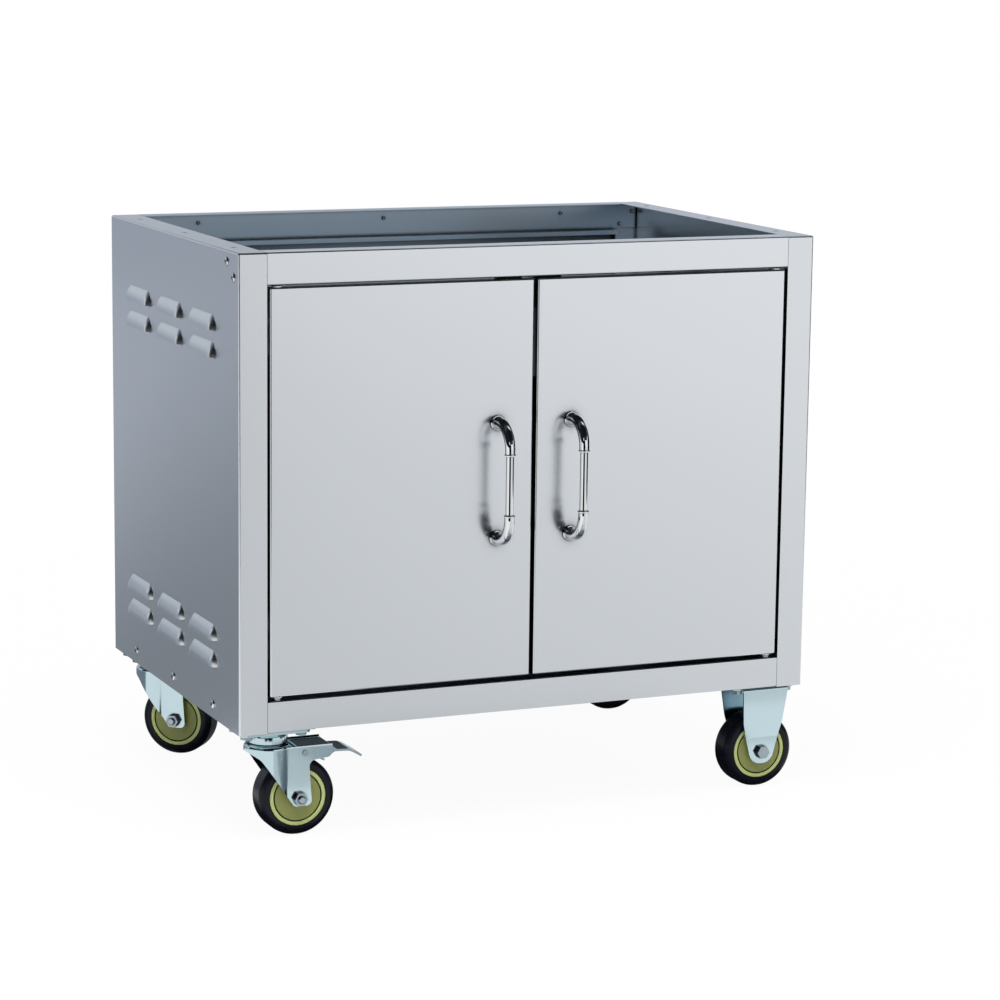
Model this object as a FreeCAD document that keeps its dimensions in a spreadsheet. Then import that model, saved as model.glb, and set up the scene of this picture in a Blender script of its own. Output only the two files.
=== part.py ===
import FreeCAD, Part
import math
import os
import Sketcher

# A stainless grill cart: a folded sheet cabinet with two pivoting doors on four casters.
# Millimetres, +Z up, +X to the right, +Y to the back, the floor at zero.
# Each cabinet piece is drawn about the middle of the cabinet's underside, each caster piece
# about the middle of its own top plate, and each wheel about its own middle.

Vector = FreeCAD.Vector

# Driving dimensions: name, size in millimetres (degrees for angles), what it measures
DRIVING = [
    ("cart_width", 812, "cabinet, outside, left to right"),
    ("cart_depth", 546, "cabinet, outside, front to back"),
    ("cabinet_height", 617, "cabinet, underside to top flange"),
    ("sheet", 1.2, "stainless sheet of the cabinet"),
    ("bend_radius", 2.5, "outside radius of a folded corner"),
    ("rail_bend", 2, "outside radius of a rail's fold"),
    ("fold_clear", 2, "side folds to the rails above and below"),
    ("seam", 0.5, "gap between a rail and the stile beside it"),
    ("stile_width", 38, "face of the side panel seen from the front"),
    ("stile_return", 10, "fold behind the stile's inner edge"),
    ("top_hole_radius", 3.5, "holes in the side panels' top flanges"),
    ("top_hole_inset", 19, "side face to the top holes"),
    ("top_hole_pitch", 200, "spacing of the top holes"),
    ("rail_height", 41, "face of the top rails"),
    ("rail_flange", 30, "top flange of the rails, front to back"),
    ("pivot_flange", 34, "lower flange of the front top rail"),
    ("rear_flange", 19, "lower flange of the rear top rail"),
    ("rear_lip", 5, "turned-down edge of the rear top rail"),
    ("base_height", 42, "face of the bottom rails, with the gap under them"),
    ("base_gap", 1.5, "gap under the bottom rails"),
    ("tab_margin", 3, "end tab, inside its rail's height"),
    ("tab_lap", 10, "end tab, where it is welded behind the rail"),
    ("tab_depth", 57, "end tab along the side panel"),
    ("channel_width", 103, "caster channel, left to right"),
    ("channel_sheet", 2, "steel of the caster channel"),
    ("inside_gap", 1.5, "floor parts to the stiles' inside"),
    ("floor_lip", 15, "turned-down edge of the floor"),
    ("back_return", 10, "side fold of the back panel"),
    ("back_margin", 5, "back panel to the top and bottom edges"),
    ("screw_radius", 2.5, "panel screw shank"),
    ("screw_head_radius", 4.6, "panel screw head"),
    ("screw_head_height", 2.5, "panel screw head"),
    ("screw_head_bevel", 1.1, "bevel of the panel screw head"),
    ("screw_length", 8, "panel screw shank"),
    ("screw_play", 0.2, "clearance hole around a screw"),
    ("screw_high_inset", 14, "upper panel screw to the top edge"),
    ("screw_low_inset", 32, "lower panel screw to the top edge"),
    ("side_screw_back", 43.5, "upper side screw to the front edge"),
    ("side_screw_front", 18, "lower side screw to the front edge"),
    ("rear_screw_out", 9, "upper rear screw to the side edge"),
    ("rear_screw_in", 29, "lower rear screw to the side edge"),
    ("base_screw_height", 18.5, "bottom row of panel screws"),
    ("base_screw_pitch", 167.5, "spacing of the bottom row"),
    ("back_screw_pitch", 280, "spacing of the back panel's screws"),
    ("louvre_height", 19.5, "louvre, lip to top crease"),
    ("louvre_depth", 8, "how far the lip stands off the sheet"),
    ("louvre_straight", 74, "straight part of a louvre"),
    ("louvre_end", 16, "rounded end of a louvre along the sheet"),
    ("louvre_bulge", 1.8, "crown of the louvre's face"),
    ("louvre_slit", 0.4, "sheet cut away under the lip"),
    ("louvre_columns", 3, "louvres side by side"),
    ("louvre_pitch", 137, "louvre to louvre along a row"),
    ("louvre_rows", 2, "rows in a group"),
    ("louvre_row_pitch", 35, "row to row in a group"),
    ("louvre_high_lip", 510, "lip of the highest row"),
    ("louvre_low_lip", 71, "lip of the lowest row"),
    ("louvre_shift", 5, "louvre columns behind the side's middle"),
    ("door_side_gap", 3.5, "door to stile"),
    ("door_middle_gap", 5, "door to door"),
    ("door_top_gap", 3.1, "door to top rail"),
    ("door_bottom_gap", 5, "door to bottom rail"),
    ("door_thickness", 20, "door, front to back"),
    ("door_sheet", 1, "stainless sheet of the door"),
    ("liner_fit", 0.1, "liner inside the door skin"),
    ("liner_fold", 6, "fold of the liner"),
    ("pivot_inset", 12, "door's outer edge to its pivot"),
    ("pivot_depth", 8, "door's face to its pivot"),
    ("pin_radius", 3, "door pivot pin"),
    ("pin_fit", 0.08, "pin in its bush"),
    ("pin_reach", 13, "pin inside the door"),
    ("pin_head_radius", 6, "pin head and collar"),
    ("pin_head_height", 2, "pin head"),
    ("bush_wall", 1.5, "bush around the pin"),
    ("bush_length", 14, "bush inside the door"),
    ("bush_flange", 1.5, "flange of the bush"),
    ("bush_flange_radius", 7, "flange of the bush"),
    ("door_float", 0.3, "bush flange to the collar it rides on"),
    ("handle_inset", 50, "door's free edge to the handle"),
    ("handle_spacing", 152, "handle foot to foot"),
    ("handle_rise", 0.75, "handle's middle above the door's middle"),
    ("handle_reach", 42, "door face to the bar's middle"),
    ("handle_bend", 21, "bend of the handle's elbow"),
    ("foot_radius", 10, "foot flange of the handle"),
    ("foot_height", 2.5, "foot flange of the handle"),
    ("foot_round", 1, "rounded edge of the foot flange"),
    ("elbow_foot_radius", 8, "elbow at the foot"),
    ("elbow_end_radius", 6.6, "elbow at the bar"),
    ("bar_radius", 5.2, "bar of the handle"),
    ("bar_length", 79, "bar between the elbows"),
    ("ring_radius", 7.4, "ring at each end of the bar"),
    ("ring_width", 3, "ring at each end of the bar"),
    ("ring_round", 1, "rounded edges of the ring"),
    ("spigot_radius", 4, "bar inside the elbow"),
    ("spigot_length", 8, "bar inside the elbow"),
    ("handle_screw_reach", 12, "handle screw inside the elbow"),
    ("catch_width", 34, "magnetic catch"),
    ("catch_depth", 12.4, "magnetic catch, front to back"),
    ("catch_height", 13, "magnetic catch"),
    ("catch_inset", 28, "middle of the cart to a catch"),
    ("pole_reach", 1, "pole plate in front of the catch's case"),
    ("pole_inset", 3, "pole plate to the ends of the case"),
    ("pole_thickness", 2, "pole plate"),
    ("pole_level", 3, "underside of the case to the lower pole plate"),
    ("pole_pitch", 5, "pole plate to pole plate"),
    ("strike_sheet", 0.8, "strike plate on the door"),
    ("strike_height", 12, "strike plate on the door"),
    ("strike_gap", 0.3, "strike plate to catch"),
    ("strike_inset", 1, "strike plate to the top of the door"),
    ("caster_height", 144.5, "floor to the underside of the cabinet"),
    ("caster_inset_x", 52, "side face to the caster's middle"),
    ("caster_inset_y", 39, "front or back face to the caster's middle"),
    ("plate_length", 94, "caster plate, left to right"),
    ("plate_width", 72, "caster plate, front to back"),
    ("plate_thickness", 3.5, "caster plate"),
    ("plate_corner", 8, "caster plate corner"),
    ("plate_bolt_x", 75, "caster bolts, left to right"),
    ("plate_bolt_y", 45, "caster bolts, front to back"),
    ("bolt_radius", 4, "caster bolt"),
    ("bolt_play", 0.4, "clearance hole around a caster bolt"),
    ("bolt_head_flats", 13, "caster bolt and nut, across flats"),
    ("bolt_head_height", 5.3, "caster bolt head"),
    ("bolt_nut_height", 6.5, "caster nut"),
    ("bolt_past_nut", 2, "caster bolt past its nut"),
    ("tyre_drop", 41.5, "plate's top to the top of the tyre"),
    ("tyre_thickness", 13.3, "tyre, hub to tread"),
    ("wheel_width", 38, "tyre, side to side"),
    ("tyre_shoulder", 9, "rounded edge of the tyre"),
    ("groove_inset", 6, "groove in the hub's face to the hub's edge"),
    ("hub_groove", 1.4, "width of the groove"),
    ("hub_groove_depth", 1.5, "depth of the groove"),
    ("hub_dish", 0.6, "hub face below the tyre's side"),
    ("hub_boss_radius", 13, "boss around the bush"),
    ("bush_radius", 7, "wheel bush"),
    ("wheel_fit", 0.08, "hub on its bush"),
    ("fork_gap", 48, "inside the fork, leg to leg"),
    ("fork_sheet", 2.5, "steel of the fork and of a fixed bracket's legs"),
    ("hub_side_play", 0.5, "hub boss to the fork's leg"),
    ("trail", 34.5, "swivel axis to wheel axle"),
    ("axle_radius", 5, "axle bolt"),
    ("axle_flats", 16, "axle bolt and nut, across flats"),
    ("axle_head_height", 7.5, "axle bolt head"),
    ("axle_nut_height", 8, "axle nut"),
    ("axle_past_nut", 3.5, "axle bolt past its nut"),
    ("axle_tip", 1, "bevel at the end of the axle bolt"),
    ("race_neck", 21, "drum of the swivel bearing, at the plate"),
    ("race_radius", 25.5, "drum of the swivel bearing"),
    ("race_shoulder", 11, "plate's top to where the drum is widest"),
    ("race_depth", 19.7, "plate's top to the drum's underside"),
    ("race_round", 1, "rounded lower edge of the drum"),
    ("swivel_play", 0.3, "between the swivel's faces"),
    ("king_radius", 6, "king pin"),
    ("king_fit", 0.08, "fork on the king pin"),
    ("king_head_radius", 11, "head of the king pin"),
    ("king_head_height", 4, "head of the king pin"),
    ("king_head_round", 2.4, "rounded edge of that head"),
    ("crown_radius", 31.5, "crown of the fork"),
    ("crown_bend", 6, "rounded edge of the crown"),
    ("crown_waist", 8, "hollow where the crown runs into a leg"),
    ("crown_back", 20, "swivel axis to the end of the crown's top"),
    ("skirt_front", 29.5, "plate's top to the skirt's edge at the front"),
    ("skirt_turn_x", 18.5, "swivel axis to the turn of the skirt's edge"),
    ("skirt_turn_z", 37.5, "plate's top to the turn of the skirt's edge"),
    ("skirt_round", 22, "rounding of that turn"),
    ("leg_front", 7.3, "axle to the front corner of the leg's end"),
    ("leg_back", 17, "axle to the back corner of the leg's end"),
    ("leg_end", 10.5, "axle to the end of the leg"),
    ("leg_corner", 7, "rounded end of the leg"),
    ("throat_x", 12.8, "axle to the corner between leg and ear"),
    ("throat_z", 44, "plate's top to that corner"),
    ("throat_round", 9, "rounding of that corner"),
    ("ear_reach", 79.5, "swivel axis to the end of the ears"),
    ("ear_top", 24, "plate's top to the ears' top edge"),
    ("ear_bottom", 40.6, "plate's top to the ears' lower corner"),
    ("ear_corner", 8, "rounded lower corner of the ears"),
    ("ear_nick", 3, "rounding where the ears leave the crown"),
    ("pedal_pin_x", 42, "swivel axis to the pedal's pin"),
    ("pedal_pin_z", 33, "plate's top to the pedal's pin"),
    ("pedal_pin_radius", 2.5, "pedal's pin"),
    ("pedal_pin_fit", 0.08, "pedal on its pin"),
    ("pedal_head_radius", 3.8, "head of the pedal's pin"),
    ("pedal_head_height", 1.2, "head of the pedal's pin"),
    ("pedal_width", 45, "pedal between the ears"),
    ("pedal_sheet", 2, "steel of the pedal"),
    ("pedal_back", 7, "pedal's pin to the pedal's end in the fork"),
    ("pedal_top", 26, "plate's top to the top of the pedal"),
    ("pedal_flange", 39, "plate's top to the edge of the pedal's sides"),
    ("pedal_step_x", 80, "swivel axis to the step down to the tread"),
    ("pedal_step_run", 5, "step, front to back"),
    ("pedal_tread", 33, "plate's top to the tread"),
    ("pedal_fall_x", 106, "swivel axis to where the tread turns down"),
    ("pedal_fall_z", 34, "plate's top to where the tread turns down"),
    ("pedal_tip_x", 122, "swivel axis to the pedal's tip"),
    ("pedal_tip_z", 43.5, "plate's top to the pedal's tip"),
    ("pedal_rim", 0.8, "edge of the pedal's sides below the tread"),
    ("step_round", 4, "bend at the top of the step"),
    ("step_hollow", 6, "bend at the foot of the step"),
    ("tread_round", 25, "bend of the tread"),
    ("shoe_width", 26, "brake shoe"),
    ("shoe_sheet", 2.5, "brake shoe"),
    ("shoe_gap", 5.3, "brake shoe to tyre when the pedal is up"),
    ("shoe_high", 72, "upper end of the shoe, degrees round the wheel"),
    ("shoe_low", 54, "lower end of the shoe, degrees round the wheel"),
    ("shoe_tail", 5.6, "shoe beyond its lower end"),
    ("shoe_bend", 3, "inside bend of the shoe"),
    ("bracket_fold", 5, "outside radius of a fixed bracket's fold"),
    ("bracket_top", 34.5, "half width of a fixed bracket's leg at the plate"),
    ("bracket_shoulder", 29.5, "half width of the leg at its shoulder"),
    ("bracket_shoulder_rise", 41, "axle up to the shoulder"),
    ("bracket_shoulder_round", 25, "rounding of the shoulder"),
    ("bracket_foot", 15, "half width of the leg's end"),
    ("bracket_end", 16.5, "axle down to the leg's end"),
    ("bracket_foot_round", 17, "rounded corners of the leg's end"),
    ("bracket_knee_rise", 21, "axle up to the bend in the bracket's leg"),
    ("bracket_knee_round", 12, "rounding of that bend"),
    ("rear_left_swing", -41, "how far the rear left caster has swung"),
]


class Size:
    """A number and the text of the expression that gives it from the sheet."""

    def __init__(self, value, text):
        self.value = float(value)
        self.text = text

    def __float__(self):
        return self.value

    def __neg__(self):
        return Size(-self.value, "-1 * (%s)" % self.text)

    def __add__(self, other):
        return combine(self, other, self.value + float(other), "+")

    def __radd__(self, other):
        return combine(other, self, float(other) + self.value, "+")

    def __sub__(self, other):
        return combine(self, other, self.value - float(other), "-")

    def __rsub__(self, other):
        return combine(other, self, float(other) - self.value, "-")

    def __mul__(self, other):
        return combine(self, other, self.value * float(other), "*")

    def __rmul__(self, other):
        return combine(other, self, float(other) * self.value, "*")

    def __truediv__(self, other):
        return combine(self, other, self.value / float(other), "/")


def text_of(item):
    """The expression text of a size or a plain number."""
    if isinstance(item, Size):
        return item.text
    return "%.9g" % item


def combine(left, right, value, sign):
    """Two sizes joined by a sign."""
    return Size(value, "(%s %s %s)" % (text_of(left), sign, text_of(right)))


doc = FreeCAD.newDocument("grill_cart")
sheet = doc.addObject("Spreadsheet::Sheet", "Sizes")


class Dimensions:
    """Every driving dimension by name."""


dim = Dimensions()
for row, (alias, number, meaning) in enumerate(DRIVING, start=1):
    sheet.set("A%d" % row, alias)
    sheet.set("B%d" % row, str(number))
    sheet.set("C%d" % row, meaning)
    sheet.setAlias("B%d" % row, alias)
doc.recompute()
for alias, number, meaning in DRIVING:
    setattr(dim, alias, Size(sheet.get(alias), "Sizes." + alias))

half_width = dim.cart_width / 2
half_depth = dim.cart_depth / 2
# The handles stand further out than the rear screws, so the cabinet sits a little behind the
# middle of the whole cart's depth.
front_reach = half_depth + dim.handle_reach + dim.ring_radius
back_reach = half_depth + dim.screw_head_height
cabinet_back = (front_reach - back_reach) / 2
stile_edge = half_width - dim.stile_width
rail_half = stile_edge - dim.seam
wall_inside = half_width - dim.sheet
top_rail_low = dim.cabinet_height - dim.rail_height
door_low = dim.base_height + dim.door_bottom_gap
door_high = top_rail_low - dim.door_top_gap
handle_middle = (door_low + door_high) / 2 + dim.handle_rise
door_outer = stile_edge - dim.door_side_gap
door_inner = dim.door_middle_gap / 2
door_back = -half_depth + dim.door_thickness
pivot_x = door_outer - dim.pivot_inset
pivot_y = -half_depth + dim.pivot_depth
bush_outer = dim.pin_radius + dim.bush_wall
handle_x = door_inner + dim.handle_inset
caster_x = half_width - dim.caster_inset_x
caster_y = half_depth - dim.caster_inset_y
# The wheel fills the height that the plate, the bearing and the fork leave.
wheel_radius = (dim.caster_height - dim.tyre_drop) / 2
hub_radius = wheel_radius - dim.tyre_thickness
groove_radius = hub_radius - dim.groove_inset
axle_drop = dim.caster_height - wheel_radius
crown_top = dim.race_depth + dim.swivel_play
fork_half = dim.fork_gap / 2 + dim.fork_sheet
floor_top = dim.base_height - dim.sheet
channel_top = floor_top - dim.sheet
floor_half_depth = half_depth - dim.sheet - dim.inside_gap
screw_hole = dim.screw_radius + dim.screw_play
# How far a cut runs on past what it cuts.
past = 3
parts = []


def bind(item, prop, size):
    """Set a property from a size, and tie it to the sheet where the size comes from there."""
    setattr(item, prop, float(size))
    if isinstance(size, Size):
        item.setExpression(prop, size.text)


def new_body(label):
    """An empty body for one piece."""
    body = doc.addObject("PartDesign::Body", label)
    body.Label = label
    return body


def origin_plane(body, role):
    """One of the body's own origin planes."""
    for feature in body.Origin.OriginFeatures:
        if feature.Role == role:
            return feature
    raise ValueError(role)


def new_sketch(body, role, level):
    """A sketch on an origin plane, lifted to a level along that plane's own axis."""
    sketch = body.newObject("Sketcher::SketchObject", body.Name + "_sketch")
    sketch.AttachmentSupport = (origin_plane(body, role), [""])
    sketch.MapMode = "FlatFace"
    if role == "XZ_Plane":
        level = -1 * level
    sketch.AttachmentOffset = FreeCAD.Placement(Vector(0, 0, float(level)), FreeCAD.Rotation())
    if isinstance(level, Size):
        sketch.setExpression("AttachmentOffset.Base.z", level.text)
    return sketch


def tie(sketch, kind, geometry, point, size):
    """Hold one coordinate of a point at a size from the sketch's origin."""
    index = sketch.addConstraint(Sketcher.Constraint(kind, -1, 1, geometry, point, float(size)))
    if isinstance(size, Size):
        sketch.setExpression("Constraints[%d]" % index, size.text)


def draw_outline(sketch, points):
    """A closed outline of straight sides through the points."""
    first = sketch.GeometryCount
    count = len(points)
    for i in range(count):
        start = Vector(float(points[i][0]), float(points[i][1]), 0)
        end = Vector(float(points[(i + 1) % count][0]), float(points[(i + 1) % count][1]), 0)
        sketch.addGeometry(Part.LineSegment(start, end), False)
    for i in range(count):
        following = first + (i + 1) % count
        sketch.addConstraint(Sketcher.Constraint("Coincident", first + i, 2, following, 1))
    for i in range(count):
        tie(sketch, "DistanceX", first + i, 1, points[i][0])
        tie(sketch, "DistanceY", first + i, 1, points[i][1])


def draw_circles(sketch, centres, radius):
    """Circles of one radius."""
    for across, up in centres:
        circle = Part.Circle(Vector(float(across), float(up), 0), Vector(0, 0, 1), float(radius))
        index = sketch.addGeometry(circle, False)
        tie(sketch, "DistanceX", index, 3, across)
        tie(sketch, "DistanceY", index, 3, up)
        constraint = sketch.addConstraint(Sketcher.Constraint("Radius", index, float(radius)))
        if isinstance(radius, Size):
            sketch.setExpression("Constraints[%d]" % constraint, radius.text)


def extrude(body, kind, role, start, end, points=None, circles=None, radius=None):
    """A pad or a pocket between two levels, from an outline or from circles."""
    sketch = new_sketch(body, role, (start + end) / 2)
    if points:
        draw_outline(sketch, points)
    else:
        draw_circles(sketch, circles, radius)
    feature = body.newObject("PartDesign::" + kind, body.Name + "_" + kind.lower())
    feature.Profile = sketch
    feature.SideType = "Symmetric"
    bind(feature, "Length", end - start)
    doc.recompute()
    return feature


def rectangle(left, low, right, high):
    """Corner points of a rectangle."""
    return [(left, low), (right, low), (right, high), (left, high)]


def pad(body, role, start, end, points):
    """Material between two levels."""
    return extrude(body, "Pad", role, start, end, points=points)


def drill(body, role, start, end, circles, radius):
    """Round holes between two levels."""
    return extrude(body, "Pocket", role, start, end, circles=circles, radius=radius)


def revolve(body, role, points, axis="V_Axis"):
    """A full turn of an outline about one of its sketch's own axes."""
    sketch = new_sketch(body, role, 0)
    draw_outline(sketch, points)
    feature = body.newObject("PartDesign::Revolution", body.Name + "_revolution")
    feature.Profile = sketch
    feature.ReferenceAxis = (sketch, [axis])
    feature.Angle = 360
    doc.recompute()
    return feature


def round_edges(body, radius, chosen):
    """A fillet on the edges whose middles a test picks out."""
    base = body.Tip
    names = []
    for index, edge in enumerate(base.Shape.Edges, start=1):
        middle = edge.valueAt((edge.FirstParameter + edge.LastParameter) / 2)
        if chosen(edge, middle):
            names.append("Edge%d" % index)
    feature = body.newObject("PartDesign::Fillet", body.Name + "_fillet")
    feature.Base = (base, names)
    bind(feature, "Radius", radius)
    doc.recompute()
    return feature


def hollow(body, wall, chosen):
    """A shell of one wall thickness, open at the faces that a test picks out."""
    base = body.Tip
    names = []
    for index, face in enumerate(base.Shape.Faces, start=1):
        if chosen(face.CenterOfMass):
            names.append("Face%d" % index)
    feature = body.newObject("PartDesign::Thickness", body.Name + "_shell")
    feature.Base = (base, names)
    feature.Mode = 0
    feature.Join = 1
    feature.Reversed = True
    bind(feature, "Value", wall)
    doc.recompute()
    return feature


def near(value, target):
    """Whether two lengths are the same."""
    return abs(value - float(target)) < 1e-4


def along(edge, axis):
    """Whether an edge is straight and runs along an axis."""
    if not isinstance(edge.Curve, Part.Line):
        return False
    return abs(abs(edge.Curve.Direction.dot(axis)) - 1) < 1e-6


def shape_part(label, shape):
    """A piece whose shape is worked out here from the sheet's sizes."""
    feature = doc.addObject("Part::Feature", label)
    feature.Label = label
    feature.Shape = Part.makeCompound([shape])
    return feature


def on_cabinet(item):
    """Place a piece that is drawn about the middle of the cabinet's underside."""
    item.Placement = FreeCAD.Placement(
        Vector(0, float(cabinet_back), float(dim.caster_height)), FreeCAD.Rotation())
    item.setExpression("Placement.Base.y", cabinet_back.text)
    item.setExpression("Placement.Base.z", dim.caster_height.text)
    parts.append(item)


def caster_placement(side, end, turn=0.0):
    """Where a caster's plate sits, turned about its own middle."""
    base = Vector(side * float(caster_x), float(cabinet_back) + end * float(caster_y),
                  float(dim.caster_height))
    return FreeCAD.Placement(base, FreeCAD.Rotation(Vector(0, 0, 1), turn))


def on_caster(item, place, offset=Vector(0, 0, 0)):
    """Place a piece that is drawn about a caster's plate or its wheel's middle."""
    item.Placement = place.multiply(FreeCAD.Placement(offset, FreeCAD.Rotation()))
    parts.append(item)


def cylinder(radius, low, high, centre=(0, 0), axis="Z"):
    """A round bar between two levels along an axis."""
    span = float(high) - float(low)
    across, up = float(centre[0]), float(centre[1])
    if axis == "X":
        return Part.makeCylinder(float(radius), span, Vector(float(low), across, up), Vector(1, 0, 0))
    if axis == "Y":
        return Part.makeCylinder(float(radius), span, Vector(across, float(low), up), Vector(0, 1, 0))
    return Part.makeCylinder(float(radius), span, Vector(across, up, float(low)), Vector(0, 0, 1))


def hexagon(flats, low, high):
    """A hexagonal prism about the Z axis."""
    circle = float(flats) / math.sqrt(3)
    corners = []
    for step in range(7):
        angle = math.radians(60 * step)
        corners.append(Vector(circle * math.cos(angle), circle * math.sin(angle), float(low)))
    return Part.Face(Part.makePolygon(corners)).extrude(Vector(0, 0, float(high) - float(low)))


def pan_screw(length):
    """A pan-head screw: the head stands on the XY plane and the shank points down."""
    head = Part.makeCylinder(float(dim.screw_head_radius), float(dim.screw_head_height))
    head = head.makeChamfer(float(dim.screw_head_bevel), [head.Edges[0]])
    return head.fuse(cylinder(dim.screw_radius, -float(length), 0))


def placed(shape, position, direction=Vector(0, 0, 1)):
    """A copy of a shape moved to a point, with its Z axis turned to a direction."""
    copy = shape.copy()
    copy.Placement = FreeCAD.Placement(position, FreeCAD.Rotation(Vector(0, 0, 1), direction))
    return copy


def louvre_form(inward, low, behind):
    """A pressed louvre: X outward from the sheet's face, Y along it, Z up from the lip.

    The crowned face is extruded along the straight part and turned about an upright axis
    behind the sheet at each end, which draws the ends down to the sheet. The form lies inward
    of the sheet's face by one length and is kept to another length behind that face.
    """
    depth = float(dim.louvre_depth)
    height = float(dim.louvre_height)
    half = float(dim.louvre_straight) / 2
    inset = (float(dim.louvre_end) ** 2 - depth ** 2) / (2 * depth)
    middle = Vector(depth / 2 - inward, 0, height / 2)
    outward = Vector(height, 0, depth).normalize() * float(dim.louvre_bulge)
    lip = Vector(depth - inward, 0, 0)
    crease = Vector(-inward, 0, height)
    face = Part.Arc(lip, middle + outward, crease).toShape()
    corners = [crease, Vector(-inset, 0, height), Vector(-inset, 0, low), Vector(depth - inward, 0, low)]
    sides = [Part.makeLine(corners[0], corners[1]), Part.makeLine(corners[1], corners[2]),
             Part.makeLine(corners[2], corners[3])]
    if low < 0:
        sides.append(Part.makeLine(corners[3], lip))
    profile = Part.Face(Part.Wire([face] + sides))
    profile.translate(Vector(0, -half, 0))
    straight = profile.extrude(Vector(0, 2 * half, 0))
    near_end = profile.revolve(Vector(-inset, -half, 0), Vector(0, 0, 1), -90)
    profile.translate(Vector(0, 2 * half, 0))
    far_end = profile.revolve(Vector(-inset, half, 0), Vector(0, 0, 1), 90)
    solid = straight.fuse([near_end, far_end]).removeSplitter()
    reach = 4 * depth + 2 * half
    keep = Part.makeBox(reach, 2 * reach, 3 * height, Vector(-behind, -reach, -height))
    return solid.common(keep)


def louvre_places():
    """The lip's middle of every louvre, as a place along the panel and a height."""
    places = []
    rows = int(float(dim.louvre_rows))
    columns = int(float(dim.louvre_columns))
    for group in (float(dim.louvre_high_lip), float(dim.louvre_low_lip)):
        toward_middle = -1 if group > float(dim.cabinet_height) / 2 else 1
        for line in range(rows):
            level = group + toward_middle * line * float(dim.louvre_row_pitch)
            for column in range(columns):
                step = column - (columns - 1) / 2
                places.append((float(dim.louvre_shift + step * dim.louvre_pitch), level))
    return places


def louvres(side, form):
    """Copies of one louvre form over a side panel's face."""
    copies = []
    for along_panel, level in louvre_places():
        spot = Vector(side * float(half_width), along_panel, level)
        copy = form.copy()
        turn = FreeCAD.Rotation(Vector(0, 0, 1), 0 if side > 0 else 180)
        copy.Placement = FreeCAD.Placement(spot, turn)
        copies.append(copy)
    return copies


def side_screw_spots():
    """Places along the side and heights of the panel screws in a side panel."""
    high = dim.cabinet_height - dim.screw_high_inset
    low = dim.cabinet_height - dim.screw_low_inset
    spots = [(-half_depth + dim.side_screw_back, high), (-half_depth + dim.side_screw_front, low)]
    for step in (-1, 0, 1):
        spots.append((step * dim.base_screw_pitch, dim.base_screw_height))
    return spots


def rear_screw_spots():
    """Distances from the middle and heights of the screws in the rear stiles."""
    high = dim.cabinet_height - dim.screw_high_inset
    low = dim.cabinet_height - dim.screw_low_inset
    spots = []
    for side in (-1, 1):
        spots.append((side * (half_width - dim.rear_screw_out), high))
        spots.append((side * (half_width - dim.rear_screw_in), low))
        spots.append((side * (half_width - dim.stile_width / 2), dim.base_screw_height))
    return spots


def back_screw_spots():
    """Distances from the middle and heights of the back panel's own screws."""
    high = dim.cabinet_height - dim.screw_high_inset
    spots = []
    for level in (high, dim.base_screw_height):
        for step in (-1, 0, 1):
            spots.append((step * dim.back_screw_pitch, level))
    return spots


def side_panel(side, name):
    """One folded sheet: outer wall with louvres, top flange, front and rear stiles."""
    body = new_body(name + "_shell")
    outer = side * half_width
    inner = side * stile_edge
    pad(body, "XY_Plane", 0, dim.cabinet_height, rectangle(outer, -half_depth, inner, half_depth))
    round_edges(body, dim.bend_radius,
                lambda edge, middle: near(abs(middle.x), half_width) and not near(middle.z, 0)
                or near(middle.z, dim.cabinet_height) and near(abs(middle.y), half_depth))
    hollow(body, dim.sheet,
           lambda centre: near(abs(centre.x), stile_edge) or near(centre.z, 0))
    # The front stile's inner edge is folded back between the rails.
    pad(body, "XY_Plane", dim.base_height + dim.fold_clear, top_rail_low - dim.fold_clear,
        rectangle(inner, -half_depth + dim.sheet / 2, inner + side * dim.sheet,
                  -half_depth + dim.stile_return))
    hole_x = side * (half_width - dim.top_hole_inset)
    holes = [(hole_x, step * dim.top_hole_pitch) for step in (-1, 0, 1)]
    through = dim.sheet + past
    drill(body, "XY_Plane", dim.cabinet_height - through, dim.cabinet_height + past, holes,
          dim.top_hole_radius)
    drill(body, "YZ_Plane", outer - through, outer + through, side_screw_spots(), screw_hole)
    rear = [spot for spot in rear_screw_spots() if float(spot[0]) * side > 0]
    drill(body, "XZ_Plane", half_depth - through, half_depth + past, rear, screw_hole)
    formed = shape_part(name + "_louvres", Part.makeCompound(
        louvres(side, louvre_form(0, 0, float(dim.sheet / 2)))))
    opened = shape_part(name + "_openings", Part.makeCompound(
        louvres(side, louvre_form(float(dim.sheet), -float(dim.louvre_slit), float(through)))))
    joined = doc.addObject("Part::Fuse", name + "_joined")
    joined.Base = body
    joined.Tool = formed
    panel = doc.addObject("Part::Cut", name)
    panel.Label = name
    panel.Base = joined
    panel.Tool = opened
    panel.Refine = True
    on_cabinet(panel)


def pivot_spots():
    """The two places of the doors' pivots."""
    return [(-pivot_x, pivot_y), (pivot_x, pivot_y)]


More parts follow.
